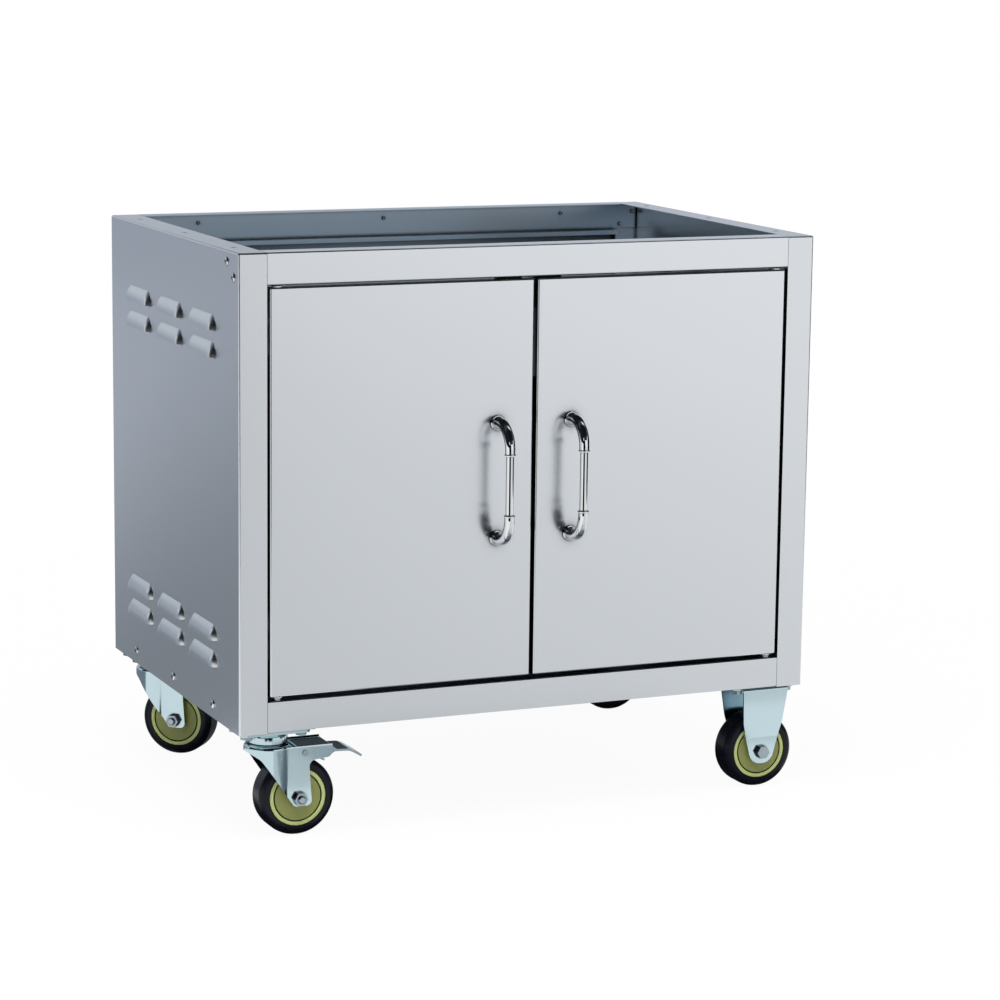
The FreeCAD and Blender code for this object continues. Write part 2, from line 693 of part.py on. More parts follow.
def front_top_rail():
    """A channel that carries the doors' upper pivots, with end tabs screwed to the side panels."""
    body = new_body("front_top_rail")
    face = -half_depth
    top = dim.cabinet_height
    low = top_rail_low
    pad(body, "YZ_Plane", -rail_half, rail_half,
        [(face, low), (face + dim.pivot_flange, low), (face + dim.pivot_flange, low + dim.sheet),
         (face + dim.sheet, low + dim.sheet), (face + dim.sheet, top - dim.sheet),
         (face + dim.rail_flange, top - dim.sheet), (face + dim.rail_flange, top), (face, top)])
    round_edges(body, dim.rail_bend,
                lambda edge, middle: along(edge, Vector(1, 0, 0)) and near(middle.y, face))
    end_tabs(body, face, low + dim.tab_margin, top - dim.tab_margin)
    drill(body, "XY_Plane", low - past, low + dim.sheet + past, pivot_spots(), dim.pin_radius)
    drill(body, "YZ_Plane", -half_width, half_width, side_screw_spots()[:2], screw_hole)
    on_cabinet(body)


def end_tabs(body, face, low, high):
    """Joggled ends that pass behind the stiles and turn back along the side panels."""
    for side in (-1, 1):
        start = side * (rail_half - dim.tab_lap)
        end = side * wall_inside
        pad(body, "XZ_Plane", face + dim.sheet, face + 2 * dim.sheet,
            rectangle(start, low, end, high))
        pad(body, "XZ_Plane", face + dim.sheet, face + dim.tab_depth,
            rectangle(end - side * dim.sheet, low, end, high))
    round_edges(body, dim.bend_radius,
                lambda edge, middle: near(abs(middle.x), wall_inside) and near(middle.y, face + dim.sheet)
                and along(edge, Vector(0, 0, 1)))


def front_bottom_rail():
    """An angle that carries the doors' lower pivots over the floor's front edge."""
    body = new_body("front_bottom_rail")
    face = -half_depth
    top = dim.base_height
    pad(body, "YZ_Plane", -rail_half, rail_half,
        [(face, dim.base_gap), (face + dim.sheet, dim.base_gap), (face + dim.sheet, top - dim.sheet),
         (face + dim.rail_flange, top - dim.sheet), (face + dim.rail_flange, top), (face, top)])
    round_edges(body, dim.rail_bend,
                lambda edge, middle: along(edge, Vector(1, 0, 0)) and near(middle.y, face)
                and near(middle.z, top))
    for side in (-1, 1):
        pad(body, "XZ_Plane", face + dim.sheet, face + 2 * dim.sheet,
            rectangle(side * (rail_half - dim.tab_lap), dim.base_gap + dim.tab_margin,
                      side * (wall_inside - dim.tab_margin), floor_top - dim.tab_margin))
    drill(body, "XY_Plane", top - dim.sheet - past, top + past, pivot_spots(), dim.pin_radius)
    on_cabinet(body)


def rear_top_rail():
    """A channel with a turned-down lip that ties the rear stiles together."""
    body = new_body("rear_top_rail")
    face = half_depth - dim.sheet
    top = dim.cabinet_height
    low = top_rail_low
    edge = face - dim.rear_flange
    pad(body, "YZ_Plane", -rail_half, rail_half,
        [(face, low), (face, top), (face - dim.rail_flange, top),
         (face - dim.rail_flange, top - dim.sheet), (face - dim.sheet, top - dim.sheet),
         (face - dim.sheet, low + dim.sheet), (edge, low + dim.sheet), (edge, low - dim.rear_lip),
         (edge + dim.sheet, low - dim.rear_lip), (edge + dim.sheet, low)])
    rear_rail_ends(body, low + dim.tab_margin, top - dim.tab_margin)
    drill(body, "XZ_Plane", face - dim.sheet - past, half_depth + past,
          rear_screw_spots() + back_screw_spots(), screw_hole)
    on_cabinet(body)


def rear_rail_ends(body, low, high):
    """The web of a rear rail, carried on inside the rear stiles."""
    for side in (-1, 1):
        pad(body, "XZ_Plane", half_depth - 2 * dim.sheet, half_depth - dim.sheet,
            rectangle(side * (rail_half - dim.tab_lap), low, side * (half_width - dim.bend_radius), high))


def rear_bottom_rail():
    """An angle that ties the rear stiles together behind the floor's edge."""
    body = new_body("rear_bottom_rail")
    face = half_depth - dim.sheet
    top = dim.base_height
    pad(body, "YZ_Plane", -rail_half, rail_half,
        [(face, dim.base_gap), (face, top), (face - dim.rail_flange, top),
         (face - dim.rail_flange, top - dim.sheet), (face - dim.sheet, top - dim.sheet),
         (face - dim.sheet, dim.base_gap)])
    rear_rail_ends(body, dim.base_gap + dim.tab_margin, floor_top - dim.tab_margin)
    drill(body, "XZ_Plane", face - dim.sheet - past, half_depth + past,
          rear_screw_spots() + back_screw_spots(), screw_hole)
    on_cabinet(body)


def back_panel():
    """A flat sheet flush with the rear stiles, folded forward along both sides."""
    body = new_body("back_panel")
    pad(body, "XZ_Plane", half_depth - dim.sheet, half_depth,
        rectangle(-rail_half, dim.back_margin, rail_half, dim.cabinet_height - dim.back_margin))
    for side in (-1, 1):
        pad(body, "XZ_Plane", half_depth - dim.back_return, half_depth - dim.sheet / 2,
            rectangle(side * rail_half, dim.base_height + dim.fold_clear,
                      side * (rail_half - dim.sheet), top_rail_low - dim.fold_clear))
    drill(body, "XZ_Plane", half_depth - dim.sheet - past, half_depth + past, back_screw_spots(),
          screw_hole)
    on_cabinet(body)


def floor_panel():
    """The cabinet's floor, laid on the caster channels, with its front and back edges turned down."""
    body = new_body("floor_panel")
    half = wall_inside - dim.seam
    pad(body, "XY_Plane", channel_top, floor_top,
        rectangle(-half, -floor_half_depth, half, floor_half_depth))
    lip_half = half_width - dim.channel_width - 2 * dim.channel_sheet
    for end in (-1, 1):
        pad(body, "XY_Plane", channel_top - dim.floor_lip, floor_top - dim.sheet / 2,
            rectangle(-lip_half, end * floor_half_depth, lip_half,
                      end * (floor_half_depth - dim.sheet)))
    drill(body, "XY_Plane", channel_top - past, floor_top + past, pivot_spots(), dim.pin_radius)
    on_cabinet(body)


def caster_channel(side, name):
    """A steel channel under the floor that the casters bolt to."""
    body = new_body(name)
    outer = side * wall_inside
    inner = side * (wall_inside - dim.channel_width)
    wall = side * dim.channel_sheet
    pad(body, "XZ_Plane", -floor_half_depth, floor_half_depth,
        [(outer, 0), (outer, channel_top), (outer - wall, channel_top),
         (outer - wall, dim.channel_sheet), (inner + wall, dim.channel_sheet),
         (inner + wall, channel_top), (inner, channel_top), (inner, 0)])
    holes = []
    for end in (-1, 1):
        for across, along_cart in plate_bolt_spots():
            holes.append((side * caster_x + across, end * caster_y + along_cart))
    drill(body, "XY_Plane", -past, dim.channel_sheet + past, holes, dim.bolt_radius + dim.bolt_play)
    through = dim.channel_sheet + past
    drill(body, "YZ_Plane", outer - through, outer + through, side_screw_spots()[2:], screw_hole)
    on_cabinet(body)


def plate_bolt_spots():
    """The four bolt places of a caster plate about its middle."""
    spots = []
    for across in (-1, 1):
        for along_cart in (-1, 1):
            spots.append((across * dim.plate_bolt_x / 2, along_cart * dim.plate_bolt_y / 2))
    return spots


def caster_fasteners():
    """Hexagon bolts from below and nuts inside the channels, one group of each."""
    plate = float(dim.plate_thickness)
    nut_low = float(dim.channel_sheet)
    nut_high = nut_low + float(dim.bolt_nut_height)
    head = hexagon(dim.bolt_head_flats, -plate - float(dim.bolt_head_height), -plate)
    bolt = head.fuse(cylinder(dim.bolt_radius, -plate, nut_high + float(dim.bolt_past_nut)))
    nut = hexagon(dim.bolt_head_flats, nut_low, nut_high).cut(
        cylinder(dim.bolt_radius, nut_low - past, nut_high + past))
    bolts = []
    nuts = []
    for side in (-1, 1):
        for end in (-1, 1):
            for across, along_cart in plate_bolt_spots():
                spot = Vector(side * float(caster_x) + float(across),
                              end * float(caster_y) + float(along_cart), 0)
                bolts.append(placed(bolt, spot))
                nuts.append(placed(nut, spot))
    on_cabinet(shape_part("caster_bolts", Part.makeCompound(bolts)))
    on_cabinet(shape_part("caster_nuts", Part.makeCompound(nuts)))


def panel_screws():
    """Every pan-head screw through the side panels, the rear stiles and the back panel."""
    screw = pan_screw(dim.screw_length)
    screws = []
    for side in (-1, 1):
        for along_panel, level in side_screw_spots():
            spot = Vector(side * float(half_width), float(along_panel), float(level))
            screws.append(placed(screw, spot, Vector(side, 0, 0)))
    for across, level in rear_screw_spots() + back_screw_spots():
        spot = Vector(float(across), float(half_depth), float(level))
        screws.append(placed(screw, spot, Vector(0, 1, 0)))
    on_cabinet(shape_part("panel_screws", Part.makeCompound(screws)))


def door_pivot_pins():
    """Four riveted pins: the upper ones hang from the top rail, the lower ones have a collar."""
    radius = dim.pin_radius
    flange = top_rail_low + dim.sheet
    upper = cylinder(radius, door_high - dim.pin_reach, flange)
    upper = upper.fuse(cylinder(dim.pin_head_radius, flange, flange + dim.pin_head_height))
    collar_top = door_low - dim.bush_flange - dim.door_float
    lower = cylinder(radius, channel_top, door_low + dim.pin_reach)
    lower = lower.fuse(cylinder(dim.pin_head_radius, dim.base_height, collar_top))
    lower = lower.fuse(cylinder(dim.pin_head_radius, channel_top - dim.pin_head_height, channel_top))
    pins = []
    for side in (-1, 1):
        spot = Vector(side * float(pivot_x), float(pivot_y), 0)
        pins.append(placed(upper, spot))
        pins.append(placed(lower, spot))
    on_cabinet(shape_part("door_pivot_pins", Part.makeCompound(pins)))


def magnetic_catches():
    """Two magnetic catches under the top rail, each with two pole plates at its front."""
    front = float(door_back + dim.strike_sheet + dim.strike_gap)
    low = float(top_rail_low - dim.catch_height)
    width = float(dim.catch_width)
    reach = float(dim.pole_reach)
    inset = float(dim.pole_inset)
    plate = float(dim.pole_thickness)
    catches = []
    for side in (-1, 1):
        left = side * float(dim.catch_inset) - width / 2
        catch = Part.makeBox(width, float(dim.catch_depth) - reach, float(dim.catch_height),
                             Vector(left, front + reach, low))
        for step in (0, 1):
            level = low + float(dim.pole_level + step * dim.pole_pitch)
            catch = catch.fuse(Part.makeBox(width - 2 * inset, 2 * reach, plate,
                                            Vector(left + inset, front, level)))
        catches.append(catch)
    on_cabinet(shape_part("magnetic_catches", Part.makeCompound(catches)))


def handle_foot_levels():
    """Heights of a handle's two feet."""
    return (handle_middle - dim.handle_spacing / 2, handle_middle + dim.handle_spacing / 2)


def door_skin(side, name):
    """The outer pan of a door: a folded sheet open at the back, with rounded edges."""
    body = new_body(name + "_skin")
    face = -half_depth
    pad(body, "XZ_Plane", face, door_back,
        rectangle(side * door_inner, door_low, side * door_outer, door_high))
    hollow(body, dim.door_sheet, lambda centre: near(centre.y, door_back))

    def on_outside(middle):
        sides = (abs(middle.x), door_inner), (abs(middle.x), door_outer)
        ends = (middle.z, door_low), (middle.z, door_high)
        return any(near(*pair) for pair in sides) and any(near(*pair) for pair in ends)

    round_edges(body, dim.bend_radius,
                lambda edge, middle: near(middle.y, face)
                or along(edge, Vector(0, 1, 0)) and on_outside(middle))
    pivot = [(side * pivot_x, pivot_y)]
    through = dim.door_sheet + past
    drill(body, "XY_Plane", door_low - past, door_low + through, pivot, bush_outer)
    drill(body, "XY_Plane", door_high - through, door_high + past, pivot, bush_outer)
    feet = [(side * handle_x, level) for level in handle_foot_levels()]
    drill(body, "XZ_Plane", face - past, face + through, feet, screw_hole)
    on_cabinet(body)


def door_liner(side, name):
    """The inner pan of a door, nested in the skin with its folds facing forward."""
    body = new_body(name + "_liner")
    inset = dim.door_sheet + dim.liner_fit
    pad(body, "XZ_Plane", door_back - dim.liner_fold, door_back,
        rectangle(side * (door_inner + inset), door_low + inset,
                  side * (door_outer - inset), door_high - inset))
    round_edges(body, dim.bend_radius - dim.door_sheet,
                lambda edge, middle: along(edge, Vector(0, 1, 0)))
    hollow(body, dim.door_sheet, lambda centre: near(centre.y, door_back - dim.liner_fold))
    on_cabinet(body)


def door_bushes(side, name):
    """Flanged nylon bushes pressed into the top and bottom of a door."""
    bore = dim.pin_radius + dim.pin_fit
    flange = cylinder(dim.bush_flange_radius, -float(dim.bush_flange), 0)
    tube = cylinder(bush_outer, 0, dim.bush_length)
    bush = flange.fuse(tube)
    bush = bush.cut(cylinder(bore, -float(dim.bush_flange) - past, float(dim.bush_length) + past))
    low = placed(bush, Vector(side * float(pivot_x), float(pivot_y), float(door_low)))
    high = placed(bush, Vector(side * float(pivot_x), float(pivot_y), float(door_high)),
                  Vector(0, 0, -1))
    on_cabinet(shape_part(name + "_bushes", Part.makeCompound([low, high])))


def door_strike(side, name):
    """The steel plate on the back of a door that meets its magnetic catch."""
    body = new_body(name + "_strike")
    high = door_high - dim.strike_inset
    pad(body, "XZ_Plane", door_back, door_back + dim.strike_sheet,
        rectangle(side * dim.catch_inset - dim.catch_width / 2, high - dim.strike_height,
                  side * dim.catch_inset + dim.catch_width / 2, high))
    round_edges(body, dim.bend_radius, lambda edge, middle: along(edge, Vector(0, 1, 0)))
    on_cabinet(body)


def elbow(level, toward):
    """A tapering bend from a round foot on the door to the end of the bar."""
    face = -float(half_depth)
    bend = float(dim.handle_bend)
    reach = float(dim.handle_reach)
    bar_end = float(handle_middle) - toward * float(dim.bar_length) / 2
    start = Vector(0, face, level)
    corner_in = Vector(0, face - reach + bend, level)
    corner_out = Vector(0, face - reach, level + toward * bend)
    end = Vector(0, face - reach, bar_end)
    slant = bend * (1 - math.sqrt(0.5))
    middle = Vector(0, face - reach + slant, level + toward * slant)
    spine = Part.Wire([Part.makeLine(start, corner_in),
                       Part.Arc(corner_in, middle, corner_out).toShape(),
                       Part.makeLine(corner_out, end)])
    shell = Part.BRepOffsetAPI.MakePipeShell(spine)
    shell.add(Part.Wire([Part.makeCircle(float(dim.elbow_foot_radius), start, Vector(0, -1, 0))]))
    shell.add(Part.Wire([Part.makeCircle(float(dim.elbow_end_radius), end, Vector(0, 0, toward))]))
    shell.build()
    shell.makeSolid()
    solid = shell.shape()
    foot = Part.makeCylinder(float(dim.foot_radius), float(dim.foot_height), start, Vector(0, -1, 0))
    foot = foot.makeFillet(float(dim.foot_round), [foot.Edges[0]])
    solid = solid.fuse(foot)
    socket = Part.makeCylinder(float(dim.spigot_radius), float(dim.spigot_length), end,
                               Vector(0, 0, -toward))
    thread = Part.makeCylinder(float(dim.screw_radius), float(dim.handle_screw_reach), start,
                               Vector(0, -1, 0))
    return solid.cut(socket).cut(thread)


def door_handle(side, name):
    """Two elbows, a bar with a ring at each end, and the screws that hold the elbows."""
    across = Vector(side * float(handle_x), 0, 0)
    low, high = handle_foot_levels()
    elbows = [elbow(float(low), 1), elbow(float(high), -1)]
    for item in elbows:
        item.translate(across)
    on_cabinet(shape_part(name + "_handle_elbows", Part.makeCompound(elbows)))

    half_bar = float(dim.bar_length) / 2
    middle = float(handle_middle)
    centre = (float(across.x), -float(half_depth + dim.handle_reach))
    bar = cylinder(dim.bar_radius, middle - half_bar, middle + half_bar, centre)
    bar = bar.fuse(cylinder(dim.spigot_radius, middle - half_bar - float(dim.spigot_length),
                            middle + half_bar + float(dim.spigot_length), centre))
    for toward in (-1, 1):
        start = Vector(centre[0], centre[1], middle + toward * half_bar)
        collar = Part.makeCylinder(float(dim.ring_radius), float(dim.ring_width), start,
                                   Vector(0, 0, -toward))
        collar = collar.makeFillet(float(dim.ring_round), [collar.Edges[0], collar.Edges[2]])
        bar = bar.fuse(collar)
    on_cabinet(shape_part(name + "_handle_bar", bar.removeSplitter()))

    inside = -float(half_depth) + float(dim.door_sheet)
    screw = pan_screw(dim.handle_screw_reach + dim.door_sheet)
    screws = []
    for level in (low, high):
        spot = Vector(float(across.x), inside, float(level))
        screws.append(placed(screw, spot, Vector(0, 1, 0)))
    on_cabinet(shape_part(name + "_handle_screws", Part.makeCompound(screws)))


def wheel(name, place, offset):
    """A hard hub with a ring groove in each face, and a rubber tyre with rounded edges."""
    half = dim.wheel_width / 2
    bore = dim.bush_radius + dim.wheel_fit
    face = half - dim.hub_dish
    boss = dim.fork_gap / 2 - dim.hub_side_play
    rim = dim.hub_boss_radius
    hub = new_body(name + "_hub")
    groove_in = groove_radius - dim.hub_groove / 2
    groove_out = groove_radius + dim.hub_groove / 2
    floor = face - dim.hub_groove_depth
    upper = [(bore, boss), (rim, boss), (rim, face), (groove_in, face),
             (groove_in, floor), (groove_out, floor), (groove_out, face), (hub_radius, face)]
    lower = [(across, -level) for across, level in reversed(upper)]
    revolve(hub, "XY_Plane", lower + upper)
    on_caster(hub, place, offset)
    tyre = new_body(name + "_tyre")
    revolve(tyre, "XY_Plane", rectangle(hub_radius, -half, wheel_radius, half))
    round_edges(tyre, dim.tyre_shoulder,
                lambda edge, middle: near(math.hypot(middle.x, middle.z), wheel_radius)
                and near(abs(middle.y), half))
    on_caster(tyre, place, offset)


def axle_parts(name, place, offset, head_side):
    """The wheel's bush, and its axle bolt with a nut on the far leg."""
    half = float(dim.fork_gap) / 2
    out = float(fork_half)
    bush = cylinder(dim.bush_radius, -half, half, (0, 0), "Y")
    bush = bush.cut(cylinder(dim.axle_radius, -half - past, half + past, (0, 0), "Y"))
    nut_end = out + float(dim.axle_nut_height)
    shank = cylinder(dim.axle_radius, -out, nut_end + float(dim.axle_past_nut))
    shank = shank.makeChamfer(float(dim.axle_tip), [shank.Edges[0]])
    bolt = shank.fuse(hexagon(dim.axle_flats, -out - float(dim.axle_head_height), -out))
    nut = hexagon(dim.axle_flats, out, nut_end)
    nut = nut.cut(cylinder(dim.axle_radius, out - past, nut_end + past))
    lay = Vector(0, -head_side, 0)
    origin = Vector(0, 0, 0)
    on_caster(shape_part(name + "_bush", bush), place, offset)
    return [placed(bolt, origin, lay), placed(nut, origin, lay)]


def caster_plate(name, half_y):
    """A rounded plate with four bolt holes, as a body still to be finished."""
    body = new_body(name)
    half_x = dim.plate_length / 2
    pad(body, "XY_Plane", -dim.plate_thickness, 0, rectangle(-half_x, -half_y, half_x, half_y))
    round_edges(body, dim.plate_corner, lambda edge, middle: along(edge, Vector(0, 0, 1)))
    drill(body, "XY_Plane", -dim.plate_thickness - past, past, plate_bolt_spots(),
          dim.bolt_radius + dim.bolt_play)
    return body


def swivel_plate(name, place):
    """The top plate with the pressed drum that holds the upper bearing race."""
    body = caster_plate(name + "_plate", dim.plate_width / 2)
    middle = dim.king_radius / 2
    revolve(body, "XZ_Plane", [
        (middle, -dim.plate_thickness / 2), (dim.race_neck, -dim.plate_thickness / 2),
        (dim.race_neck, -dim.plate_thickness), (dim.race_radius, -dim.race_shoulder),
        (dim.race_radius, -dim.race_depth), (middle, -dim.race_depth)])
    round_edges(body, dim.race_round,
                lambda edge, middle: near(edge.BoundBox.ZMax, -dim.race_depth)
                and near(math.hypot(middle.x, middle.y), dim.race_radius))
    drill(body, "XY_Plane", -dim.race_depth - past, past, [(0, 0)], dim.king_radius)
    on_caster(body, place)


def king_pin(name, place):
    """A riveted pin that holds the fork up against the plate."""
    crown_low = -float(crown_top + dim.fork_sheet + dim.swivel_play)
    pin = cylinder(dim.king_radius, crown_low, 0)
    head = Part.makeCylinder(float(dim.king_head_radius), float(dim.king_head_height),
                             Vector(0, 0, crown_low - float(dim.king_head_height)))
    head = head.makeFillet(float(dim.king_head_round), [head.Edges[2]])
    on_caster(shape_part(name + "_king_pin", pin.fuse(head)), place)


def rounded_wire(points, radii):
    """A closed outline in one plane, each corner rounded by the radius of the same number."""
    edges = []
    starts = []
    ends = []
    count = len(points)
    for i in range(count):
        here = points[i]
        before = (points[i - 1] - here).normalize()
        after = (points[(i + 1) % count] - here).normalize()
        radius = radii[i]
        turn = before.getAngle(after)
        back_off = radius / math.tan(turn / 2)
        starts.append(here + before * back_off)
        ends.append(here + after * back_off)
        if radius > 0:
            toward = (before + after).normalize()
            crest = here + toward * (radius / math.sin(turn / 2) - radius)
            edges.append(Part.Arc(starts[i], crest, ends[i]).toShape())
        else:
            edges.append(None)
    path = []
    for i in range(count):
        if edges[i]:
            path.append(edges[i])
        following = (i + 1) % count
        if ends[i].distanceToPoint(starts[following]) > 1e-6:
            path.append(Part.makeLine(ends[i], starts[following]))
    return Part.Wire(path)


def beside(points, distance):
    """An open line in the XZ plane moved sideways, to the right of the way it runs."""
    moved = []
    for i, point in enumerate(points):
        normals = []
        for start, end in ((i - 1, i), (i, i + 1)):
            if start >= 0 and end < len(points):
                run = (points[end] - points[start]).normalize()
                normals.append(Vector(run.z, 0, -run.x))
        shift = normals[0] + normals[-1]
        moved.append(point + shift * (distance / (1 + normals[0].dot(normals[-1]))))
    return moved


def side_slab(outline, radii, half):
    """A rounded outline in the XZ plane, raised to both sides of that plane."""
    slab = Part.Face(rounded_wire(outline, radii)).extrude(Vector(0, 2 * half, 0))
    slab.translate(Vector(0, -half, 0))
    return slab


def fork_block(half, crown, reach, low, high, waist, bend):
    """The fork's plan, a round crown that runs into straight legs, with its top edge rounded."""
    meet = math.sqrt(crown ** 2 - half ** 2)
    outline = Part.Wire([
        Part.Arc(Vector(meet, half, low), Vector(-crown, 0, low), Vector(meet, -half, low)).toShape(),
        Part.makeLine(Vector(meet, -half, low), Vector(reach, -half, low)),
        Part.makeLine(Vector(reach, -half, low), Vector(reach, half, low)),
        Part.makeLine(Vector(reach, half, low), Vector(meet, half, low))])
    block = Part.Face(outline).extrude(Vector(0, 0, high - low))
    creases = [edge for edge in block.Edges
               if along(edge, Vector(0, 0, 1)) and near(edge.BoundBox.XMin, meet)]
    block = block.makeFillet(waist, creases)
    rim = [edge for edge in block.Edges
           if near(edge.BoundBox.ZMin, high) and not near(edge.BoundBox.XMin, reach)]
    return block.makeFillet(bend, rim)


def fork(name, place):
    """A pressed steel fork: a round crown with a skirt, two legs, and ears for the brake pedal."""
    thick = float(dim.fork_sheet)
    half = float(fork_half)
    crown = float(dim.crown_radius)
    reach = float(dim.ear_reach)
    waist = float(dim.crown_waist)
    bend = float(dim.crown_bend)
    trail = float(dim.trail)
    drop = float(axle_drop)
    top = -float(crown_top)
    bottom = -drop - float(dim.leg_end)
    outer = fork_block(half, crown, reach, bottom, top, waist, bend)
    inner = fork_block(half - thick, crown - thick, reach + past, bottom - past, top - thick,
                       waist + thick, bend - thick)
    turn = Vector(-float(dim.skirt_turn_x), 0, -float(dim.skirt_turn_z))
    front = Vector(-crown, 0, -float(dim.skirt_front))
    side = [Vector(-2 * crown, 0, top + past),
            Vector(float(dim.crown_back), 0, top + past),
            Vector(float(dim.crown_back), 0, -float(dim.ear_top)),
            Vector(reach, 0, -float(dim.ear_top)),
            Vector(reach, 0, -float(dim.ear_bottom)),
            Vector(trail + float(dim.throat_x), 0, -float(dim.throat_z)),
            Vector(trail + float(dim.leg_back), 0, bottom),
            Vector(trail - float(dim.leg_front), 0, bottom),
            turn,
            turn + (front - turn) * 2]
    corner = float(dim.leg_corner)
    radii = [0, 0, float(dim.ear_nick), 0, float(dim.ear_corner), float(dim.throat_round),
             corner, corner, float(dim.skirt_round), 0]
    solid = outer.cut(inner).common(side_slab(side, radii, 2 * crown))
    # The crown's top runs on under the whole drum.
    solid = solid.fuse(cylinder(dim.race_radius - dim.race_round, top - thick, top))
    solid = solid.cut(cylinder(dim.axle_radius, -crown, crown, (trail, -drop), "Y"))
    solid = solid.cut(cylinder(dim.pedal_pin_radius, -crown, crown,
                               (float(dim.pedal_pin_x), -float(dim.pedal_pin_z)), "Y"))
    solid = solid.cut(cylinder(dim.king_radius + dim.king_fit, top - thick - past, 0))
    on_caster(shape_part(name + "_fork", solid.removeSplitter()), place)


def fork_fasteners(name, place):
    """The axle bolt and nut, and the pin that the pedal turns on."""
    drop = Vector(float(dim.trail), 0, -float(axle_drop))
    pieces = axle_parts(name + "_wheel", place, drop, 1)
    for piece in pieces:
        piece.translate(drop)
    out = float(fork_half)
    centre = (float(dim.pedal_pin_x), -float(dim.pedal_pin_z))
    head = float(dim.pedal_head_height)
    pin = cylinder(dim.pedal_pin_radius, -out, out, centre, "Y")
    for low in (-out - head, out):
        pin = pin.fuse(cylinder(dim.pedal_head_radius, low, low + head, centre, "Y"))
    on_caster(shape_part(name + "_fork_fasteners", Part.makeCompound(pieces + [pin])), place)


def pedal(name, place):
    """A pressed channel on the pin between the ears, stepped down behind them to a curved tread."""
    wall = float(dim.pedal_sheet)
    half = float(dim.pedal_width) / 2
    back = float(dim.pedal_pin_x - dim.pedal_back)
    step_x = float(dim.pedal_step_x)
    tread_x = float(dim.pedal_step_x + dim.pedal_step_run)
    line = [Vector(back, 0, -float(dim.pedal_top)),
            Vector(step_x, 0, -float(dim.pedal_top)),
            Vector(tread_x, 0, -float(dim.pedal_tread)),
            Vector(float(dim.pedal_fall_x), 0, -float(dim.pedal_fall_z)),
            Vector(float(dim.pedal_tip_x), 0, -float(dim.pedal_tip_z))]
    step = float(dim.step_round)
    foot = float(dim.step_hollow)
    tread = float(dim.tread_round)
    edge = wall + float(dim.pedal_rim)
    under = beside(line, edge)
    low = -float(dim.pedal_flange)
    outline = line + [under[4], under[3], under[2], Vector(step_x, 0, low), Vector(back, 0, low)]
    whole = side_slab(outline, [0, step, foot, tread, 0, 0, tread - edge, foot, foot, 0], half)
    sheet_under = beside(line, wall)
    behind = Vector(-past, 0, 0)
    beyond = (line[4] - line[3]).normalize() * past
    core = [sheet_under[0] + behind, sheet_under[1], sheet_under[2], sheet_under[3],
            sheet_under[4] + beyond, Vector(sheet_under[4].x + past, 0, 2 * low),
            Vector(back - past, 0, 2 * low)]
    inside = side_slab(core, [0, step - wall, foot + wall, tread - wall, 0, 0, 0], half - wall)
    hole = cylinder(dim.pedal_pin_radius + dim.pedal_pin_fit, -half - past, half + past,
                    (float(dim.pedal_pin_x), -float(dim.pedal_pin_z)), "Y")
    on_caster(shape_part(name + "_pedal", whole.cut(inside).cut(hole)), place)


def brake_shoe(name, place):
    """A bent steel strip under the pedal that presses on the tread."""
    thick = float(dim.shoe_sheet)
    radius = float(wheel_radius + dim.shoe_gap)
    axle = Vector(float(dim.trail), 0, -float(axle_drop))
    ends = []
    for angle in (dim.shoe_high, dim.shoe_low):
        turn = math.radians(float(angle))
        ends.append(axle + Vector(math.cos(turn), 0, math.sin(turn)) * radius)
    tail = ends[1] + (ends[1] - ends[0]).normalize() * float(dim.shoe_tail)
    line = [Vector(ends[0].x, 0, -float(dim.pedal_top + dim.pedal_sheet)), ends[0], tail]
    outline = line + list(reversed(beside(line, -thick)))
    bend = float(dim.shoe_bend)
    strip = side_slab(outline, [0, bend + thick, 0, 0, bend, 0], float(dim.shoe_width) / 2)
    on_caster(shape_part(name + "_brake_shoe", strip), place)


def swivel_caster(name, side, end, turn):
    """A braked swivel caster."""
    fixed = caster_placement(side, end)
    swung = caster_placement(side, end, turn)
    drop = Vector(float(dim.trail), 0, -float(axle_drop))
    swivel_plate(name, fixed)
    king_pin(name, fixed)
    fork(name, swung)
    fork_fasteners(name, swung)
    wheel(name + "_wheel", swung, drop)
    pedal(name, swung)
    brake_shoe(name, swung)


def bracket_leg(facing):
    """One leg of a fixed caster: folded down from the plate's edge and bent in to the wheel."""
    thick = float(dim.fork_sheet)
    edge = float(dim.plate_width) / 2
    fold = float(dim.bracket_fold)
    knee = float(dim.bracket_knee_round)
    drop = float(axle_drop)
    end = -drop - float(dim.bracket_end)
    reach = float(dim.bracket_top)
    line = [Vector(edge - 2 * fold, 0, 0), Vector(edge, 0, 0),
            Vector(float(fork_half), 0, -drop + float(dim.bracket_knee_rise)),
            Vector(float(fork_half), 0, end)]
    section = line + list(reversed(beside(line, thick)))
    radii = [0, fold, knee, 0, 0, knee + thick, fold - thick, 0]
    leg = side_slab(section, radii, reach)
    leg.rotate(Vector(0, 0, 0), Vector(0, 0, 1), facing * 90)
    return leg


